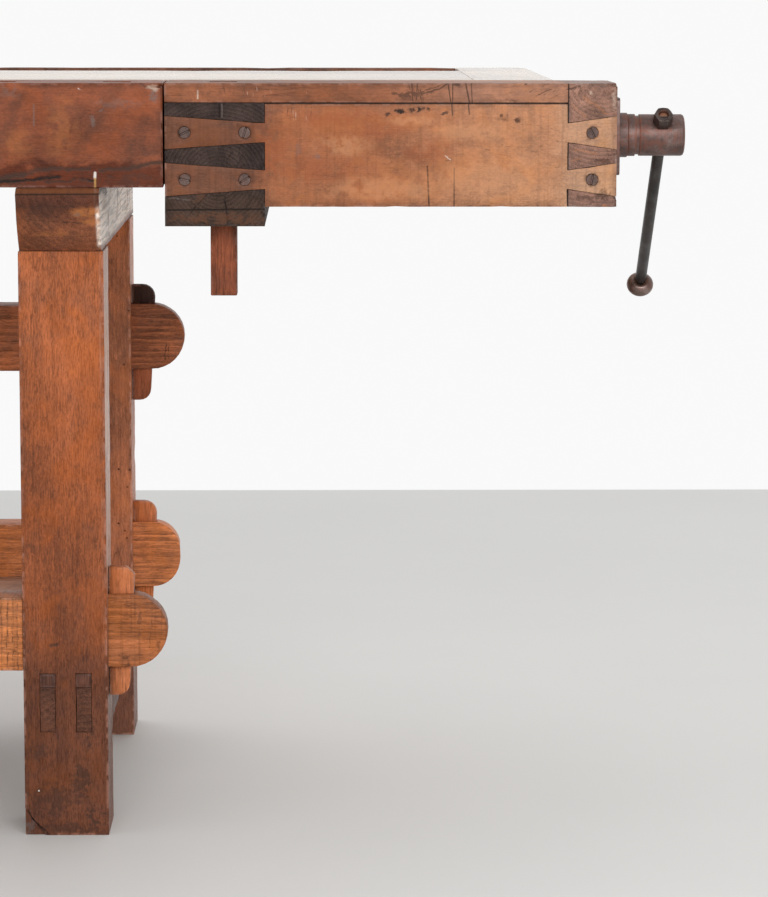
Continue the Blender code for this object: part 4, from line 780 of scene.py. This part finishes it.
jawPlan = {
    "seed": 54.0, "colour": (0.052, 0.034, 0.029), "gloss": 0.06, "rough": 0.55, "wobble": 0.0004,
    "chip": 0.001, "bevel": 0.0008, "pith": (4, 0, -14), "ringGap": 4.0, "rings": 0.34,
    "marks": (("Y", -30, jawMarks),), "fades": (("Z", 722, 708, (1.20, 1.12, 0.98)),),
    "knocks": ((69, -30, 681.5, 9, 4.0), (69, -30, 757, 9, 4.0), (69, -30, 795, 6, 1.6),
               (176, -30, 681, 7, 1.5)),
}
plank("vise_jaw_block", carriage, "end_grain", cutEndPlan, jawPlan)
endMarks = {
    ("dark", "crack"): ((0.8, 504, 829, 516, 832, 2.2),),
    ("dark", "spot"): (
        (0.6, 512, 827, 10, 6, 1.0), (0.7, 541, 715, 12, 7, 1.0), (0.55, 520, 712, 10, 4, 1.0),
        (0.8, 555, 790, 4, 5, 1.0), (0.8, 555, 742, 5, 4, 1.0), (0.7, 554, 757, 4, 3, 1.0),
        (0.7, 540, 752, 12, 3, 1.2),
    ),
    ("pale", "spot"): (
        (0.5, 527, 826, 2, 3, 0.6), (0.4, 553, 822, 3, 16, 1.0), (0.35, 549, 795, 6, 4, 1.0),
    ),
    ("orange", "crack"): (
        (0.22, 510, 812, 522, 800, 2.6), (0.22, 520, 820, 545, 803, 3.0), (0.25, 512, 764, 535, 760, 2.0),
        (0.25, 508, 752, 518, 754, 2.0),
    ),
    ("orange", "scratches"): ((0.2, 528, 765, 22, 22, -58, 5.0),),
    ("orange", "spot"): ((0.35, 545, 704, 8, 2, 0.8),),
    ("black", "line"): ((0.9, 503.8, 834, 503.8, 702, 1.5),),
}
endPlan = {
    "seed": 55.0, "colour": (0.285, 0.148, 0.106), "wobble": 0.0008, "chip": 0.003, "pith": (11, 0, 71),
    "ringGap": 4.6, "rings": 0.22, "mottle": 1.2, "mottleScale": (20.0, 46.0),
    "marks": (("Y", -30, endMarks),),
    "knocks": ((556.5, -30, 835, 13, 4.5), (556.5, -30, 702.5, 12, 4.0), (556.5, -30, 722, 9, 2.0),
               (556.5, -30, 770, 7, 1.2)),
}
plank("vise_end_block", carriage, "end_grain", cutEndPlan, endPlan)

# Front vise
frontJawPlan = {"grain": "X", "seed": 56.0, "colour": (0.330, 0.140, 0.075), "wax": 0.3}
plank("front_jaw", "front_jaw", "vise_fruitwood", frontJawPlan)
guidePlan = {"grain": "Y", "colour": (0.300, 0.120, 0.055), "step": 0.05}
for number, side in enumerate(("left", "right")):
    plank(f"front_guide_{side}", "front_jaw", "rail_oak", guidePlan, {"seed": 57.0 + number})
print("vises done")


# Iron

def ironLook(name, plan, turnedAlong=None, ends=None, rod=None):
    g = Graph(name)
    cloud = g.noise(50.0, detail=4.0, rough=0.62, shift=plan["seed"], warp=0.4)
    fine = g.noise(520.0, shift=plan["seed"] + 5)
    patch = g.noise(85.0, detail=5.0, rough=0.66, shift=plan["seed"] + 9, warp=0.6)
    tone = (0.5 + (cloud - 0.5) * 2.0 + (fine - 0.5) * 0.9).clamped()
    shades = ((0.1, shade(plan["colour"], 0.5, -0.1)), (0.95, shade(plan["colour"], 1.8, 0.3)),
              (0.55, plan["colour"]))
    colour = g.ramp(tone, shades)
    colour = g.mix(patch.above(0.55, 0.07) * plan["rusty"], colour, plan["rust"])
    height = (fine - 0.5) * 0.7 + (cloud - 0.5) * 0.8
    if turnedAlong:  # rings left by the lathe
        scale = alongAxis(turnedAlong, 1400.0, 3.0)
        rings = g.noise(scale, detail=2.0, rough=0.5, shift=plan["seed"] + 15) - 0.5
        colour = g.mix((rings * 2.2 + 0.3).clamped() * 0.35, colour, shade(plan["colour"], 1.8, 0.3))
        height = height + rings * 0.8
    bands = plan["bands"] if turnedAlong == "X" else ()  # rust rings, seen on the tail vise only
    for spot, width in bands:
        band = abs(g.x - at(spot, 0, 0).x).below(width / 2000, 0.0005) * patch.above(0.40, 0.15)
        colour = g.mix(band * 0.85, colour, plan["rust"])
    if rod:  # copper-brown round the bar that runs through
        away = g.vector("SUBTRACT", g.place, tuple(rod.translation))
        away = g.vector("CROSS_PRODUCT", away, tuple(rod.col[2].to_3d()))
        away = g.vector("LENGTH", away, out="Value")
        colour = g.mix(away.below(plan["coreRadius"] / 1000, 0.0008) * 0.85, colour, plan["core"])
    if ends:  # the bar's riveted ends have rubbed bright
        bright = g.z.above(ends[1] - 0.004, 0.001).most(g.z.below(ends[0] + 0.004, 0.001))
        colour = g.mix(bright * 0.9, colour, plan["core"])
    rough = plan["rough"] + (fine - 0.5) * 0.3 + (patch - 0.5) * 0.35
    sockets = {"Base Color": colour, "Roughness": rough, "Metallic": plan["metal"]}
    return g.finish(sockets, height, bump=0.3, depth=0.0004)


screwIron = {
    "seed": 3.0, "colour": (0.128, 0.078, 0.068), "rust": (0.200, 0.075, 0.050), "rusty": 0.6,
    "rough": 0.46, "metal": 0.65,
    "bands": ((562.8, 1.2), (573.8, 1.6), (582, 1.2), (587, 1.8), (635, 1.2)),
}
barIron = {"seed": 13.0, "colour": (0.042, 0.037, 0.035), "rust": (0.060, 0.034, 0.026), "rusty": 0.3,
           "rough": 0.40, "metal": 0.55, "core": (0.360, 0.170, 0.100)}
knobIron = {"seed": 23.0, "colour": (0.170, 0.115, 0.100), "rust": (0.180, 0.075, 0.050), "rusty": 0.35,
            "rough": 0.34, "metal": 0.70, "core": (0.420, 0.190, 0.110), "coreRadius": 7.6}
nutIron = {"seed": 27.0, "colour": (0.085, 0.062, 0.055), "rust": (0.110, 0.055, 0.040), "rusty": 0.3,
           "rough": 0.36, "metal": 0.75, "core": (0.200, 0.095, 0.065), "coreRadius": 5.6}
woodScrewSteel = {"seed": 33.0, "colour": (0.088, 0.052, 0.044), "rust": (0.120, 0.050, 0.034),
                  "rusty": 0.5, "rough": 0.42, "metal": 0.5}


def easedIron(nodeName, body, material, slotName="brown_iron", bevel=0.0006):
    piece = copyOf(nodeName, "eased_" + nodeName)
    softenEdges(piece, bevel)
    keepInside(piece, nodeName)
    dress(piece, body, material, slotName, nodeName)


woodScrewLook = ironLook("wood_screw_steel", woodScrewSteel)
for side in ("left", "middle", "right"):
    for level in ("upper", "lower"):
        easedIron(f"wood_screw_{side}_{level}", carriage, woodScrewLook, "screw_steel", 0.0004)
for vise, axis, carrier in (("tail", "X", "tail_carriage"), ("front", "Y", "front_jaw")):
    screwLook = ironLook(f"{vise}_screw_iron", screwIron, axis)
    easedIron(f"{vise}_screw", f"{vise}_screw", screwLook)
    easedIron(f"{vise}_flange", carrier, screwLook)
    barEnds = tuple(corner.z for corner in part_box(f"{vise}_bar"))
    barLook = ironLook(f"{vise}_bar_iron", barIron, ends=barEnds)
    easedIron(f"{vise}_bar", f"{vise}_bar", barLook, bevel=0.0005)
    for hidden in ("thrust_collar", "screw_nut"):
        nodes[f"{vise}_{hidden}"].data.materials.clear()
        nodes[f"{vise}_{hidden}"].data.materials.append(screwLook)


# the ball knob and the hexagon nut of a bar, modelled upright and then laid along it

def barPlace(vise):
    upwards = Vector(joints[f"{vise}_bar_slide"]["axis"]).normalized()
    screwAxis = Vector(joints[f"{vise}_screw_turn"]["axis"])
    middle = Vector(joints[f"{vise}_screw_turn"]["pos_m"])
    low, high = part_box(f"{vise}_bar")
    middle += screwAxis * ((low + high) / 2 - middle).dot(screwAxis)
    turn = Matrix((screwAxis, upwards.cross(screwAxis), upwards)).transposed().to_4x4()
    return Matrix.Translation(middle) @ turn


def heights(nodeName, place):  # where the node starts and ends along the bar
    back = place.inverted()
    found = [(back @ vert.co).z for vert in nodes[nodeName].data.vertices]
    return min(found), max(found)


def spun(name, profile):  # a closed outline of (radius, height) turned round Z
    bpy.ops.object.select_all(action="DESELECT")
    bpy.ops.mesh.primitive_circle_add(vertices=len(profile), radius=0.01)
    piece = bpy.context.object
    piece.name = name
    for vert, (radius, height) in zip(piece.data.vertices, profile):
        vert.co = (radius, 0.0, height)
    bpy.ops.object.mode_set(mode="EDIT")
    bpy.ops.mesh.select_all(action="SELECT")
    bpy.ops.mesh.spin(steps=56, angle=math.tau, center=(0, 0, 0), axis=(0, 0, 1))
    bpy.ops.mesh.select_all(action="SELECT")
    bpy.ops.mesh.remove_doubles(threshold=0.00001)
    bpy.ops.mesh.normals_make_consistent(inside=False)
    bpy.ops.object.mode_set(mode="OBJECT")
    return piece


knobPlan = {"radius": 0.0156, "rim": 0.0100, "lip": 0.0082, "bore": 0.0051, "sink": 0.0016,
            "boreChamfer": 0.0008, "steps": 9, "bevel": 0.0004}
nutPlan = {"across": 0.0185, "chamfer": 0.0019, "topShare": 0.97, "recess": 0.0052, "flare": 0.0012,
           "sink": 0.0016, "floorSlope": 0.0004, "bore": 0.0051, "bevel": 0.0004}
spare = 0.001  # how far a cutter stands out of what it cuts


def ballKnob(vise, place, material):
    low, high = heights(f"{vise}_bar_knob", place)
    half = (high - low) / 2
    swing = math.asin(knobPlan["rim"] / knobPlan["radius"])
    outline = []
    for step in range(knobPlan["steps"] + 1):  # the ball's side, from its lower rim to its upper rim
        turn = swing + (math.pi - 2 * swing) * step / knobPlan["steps"]
        outline.append((knobPlan["radius"] * math.sin(turn), -math.cos(turn) / math.cos(swing) * half))
    deep = half - knobPlan["sink"]
    bore, chamfer = knobPlan["bore"], knobPlan["boreChamfer"]
    rim = [(knobPlan["lip"], half), (bore + chamfer, deep), (bore, deep - chamfer)]
    outline += rim + [(radius, -height) for radius, height in reversed(rim)]
    knob = spun(f"{vise}_ball_knob", outline)
    knob.data.transform(place @ Matrix.Translation((0, 0, low + half)))
    softenEdges(knob, knobPlan["bevel"])
    dress(knob, f"{vise}_bar", material, "brown_iron", f"{vise}_bar_knob")


def hexagonNut(vise, place, material):
    low, high = heights(f"{vise}_bar_nut", place)
    flat, corner = nutPlan["across"] / 2, nutPlan["across"] / math.sqrt(3)
    bpy.ops.object.select_all(action="DESELECT")
    middle = (0.0, 0.0, (low + high) / 2)
    bpy.ops.mesh.primitive_cylinder_add(vertices=6, radius=corner, depth=high - low, location=middle)
    nut = bpy.context.object
    nut.name = f"{vise}_hexagon_nut"
    nut.rotation_euler.z = math.radians(30)
    bpy.ops.object.transform_apply(location=True, rotation=True, scale=True)
    outline = [(0.0, low - spare), (corner + spare, low - spare),
               (corner + spare, high - nutPlan["chamfer"]),
               (flat * nutPlan["topShare"], high + spare / 10), (0.0, high + spare / 10)]
    bore, recess, deep = nutPlan["bore"], nutPlan["recess"], high - nutPlan["sink"]
    bored = [(0.0, low - 2 * spare), (bore, low - 2 * spare), (bore, deep),
             (recess, deep + nutPlan["floorSlope"]), (recess + nutPlan["flare"], high + spare),
             (0.0, high + spare)]
    for operation, shape in (("INTERSECT", outline), ("DIFFERENCE", bored)):
        cutter = spun("nut_cutter", shape)
        cut = nut.modifiers.new(operation.lower(), "BOOLEAN")
        cut.operation = operation
        cut.solver = "EXACT"
        cut.object = cutter
        onlySelect(nut)
        bpy.ops.object.modifier_apply(modifier=cut.name)
        bpy.data.objects.remove(cutter)
    nut.data.transform(place)
    softenEdges(nut, nutPlan["bevel"])
    dress(nut, f"{vise}_bar", material, "brown_iron", f"{vise}_bar_nut")


for vise in ("tail", "front"):
    place = barPlace(vise)
    ballKnob(vise, place, ironLook(f"{vise}_knob_iron", knobIron, rod=place))
    hexagonNut(vise, place, ironLook(f"{vise}_nut_iron", nutIron, rod=place))
print("iron done")

# Room, light and camera

room = {
    "leftX": -9.0, "rightX": 9.0, "nearY": -12.0, "wallY": 2575.0, "floorColour": (0.730, 0.727, 0.712),
    "backdrop": 0.95, "behind": 1.05, "before": 0.52,
}
bpy.ops.object.select_all(action="DESELECT")
bpy.ops.mesh.primitive_plane_add(size=1.0)
floor = bpy.context.object
floor.name = "floor"
farY = at(0, room["wallY"], 0).y
corners = [(x, y, 0.0) for y in (room["nearY"], farY) for x in (room["leftX"], room["rightX"])]
for vert, corner in zip(floor.data.vertices, corners):
    vert.co = corner
g = Graph("floor_paint")
cloudy = g.noise(2.4, detail=5.0)
floorColour = g.mix(cloudy, shade(room["floorColour"], 0.97), shade(room["floorColour"], 1.03))
g.finish({"Base Color": floorColour, "Roughness": 0.55, "Specular IOR Level": 0.2})
floor.data.materials.append(g.material)

# the world is white where the backdrop is, behind the bench, and dimmer on the side of the camera
world = bpy.data.worlds.new("studio")
bpy.context.scene.world = world
g = Graph("studio", world)
isSeen = g.node("ShaderNodeLightPath", out="Is Camera Ray")
isMirrored = (g.node("ShaderNodeLightPath", out="Is Glossy Ray")
              + g.node("ShaderNodeLightPath", out="Is Transmission Ray")).clamped()
mirrored = g.slope(g.y, -0.25, 0.10, room["before"], room["backdrop"])
level = g.slope(g.y, -0.5, 0.5, room["before"], room["behind"])
level = level + (mirrored - level) * isMirrored
level = level + (room["backdrop"] - level) * isSeen
background = world.node_tree.nodes["Background"]
background.inputs["Color"].default_value = (1.0, 1.0, 1.0, 1.0)
g.join(level, background.inputs["Strength"])


window = {"place": (1.4, -5.4, 2.5), "target": (0.4, 0.3, 0.5), "width": 5.0, "height": 2.6, "power": 215.0}
lamp = bpy.data.lights.new("window", "AREA")
lamp.shape = "RECTANGLE"
lamp.size = window["width"]
lamp.size_y = window["height"]
lamp.energy = window["power"]
holder = bpy.data.objects.new("window", lamp)
bpy.context.scene.collection.objects.link(holder)
holder.location = window["place"]
shining = Vector(window["target"]) - Vector(window["place"])
holder.rotation_euler = shining.to_track_quat("-Z", "Y").to_euler()

# the camera that the photo was measured with
lens = {"place": (238.36, -3658.82, 941.49), "pitch": 7.88015, "yaw": 1.06211, "roll": 0.07958,
        "focal": 134.83, "sensor": 36.0}
cameraData = bpy.data.cameras.new("camera")
cameraData.lens = lens["focal"]
cameraData.sensor_width = lens["sensor"]
camera = bpy.data.objects.new("camera", cameraData)
bpy.context.scene.collection.objects.link(camera)
pitch, yaw, roll = (math.radians(lens[key]) for key in ("pitch", "yaw", "roll"))
forward = Vector((math.sin(yaw) * math.cos(pitch), math.cos(yaw) * math.cos(pitch), -math.sin(pitch)))
right = forward.cross(Vector((0, 0, 1))).normalized()
up = right.cross(forward)
tilted = right * math.cos(roll) + up * math.sin(roll)
turn = Matrix((tilted, tilted.cross(forward), -forward)).transposed().to_4x4()
camera.matrix_world = Matrix.Translation(at(*lens["place"])) @ turn
bpy.context.scene.camera = camera
bpy.context.scene.view_settings.view_transform = "Standard"

print("ready")
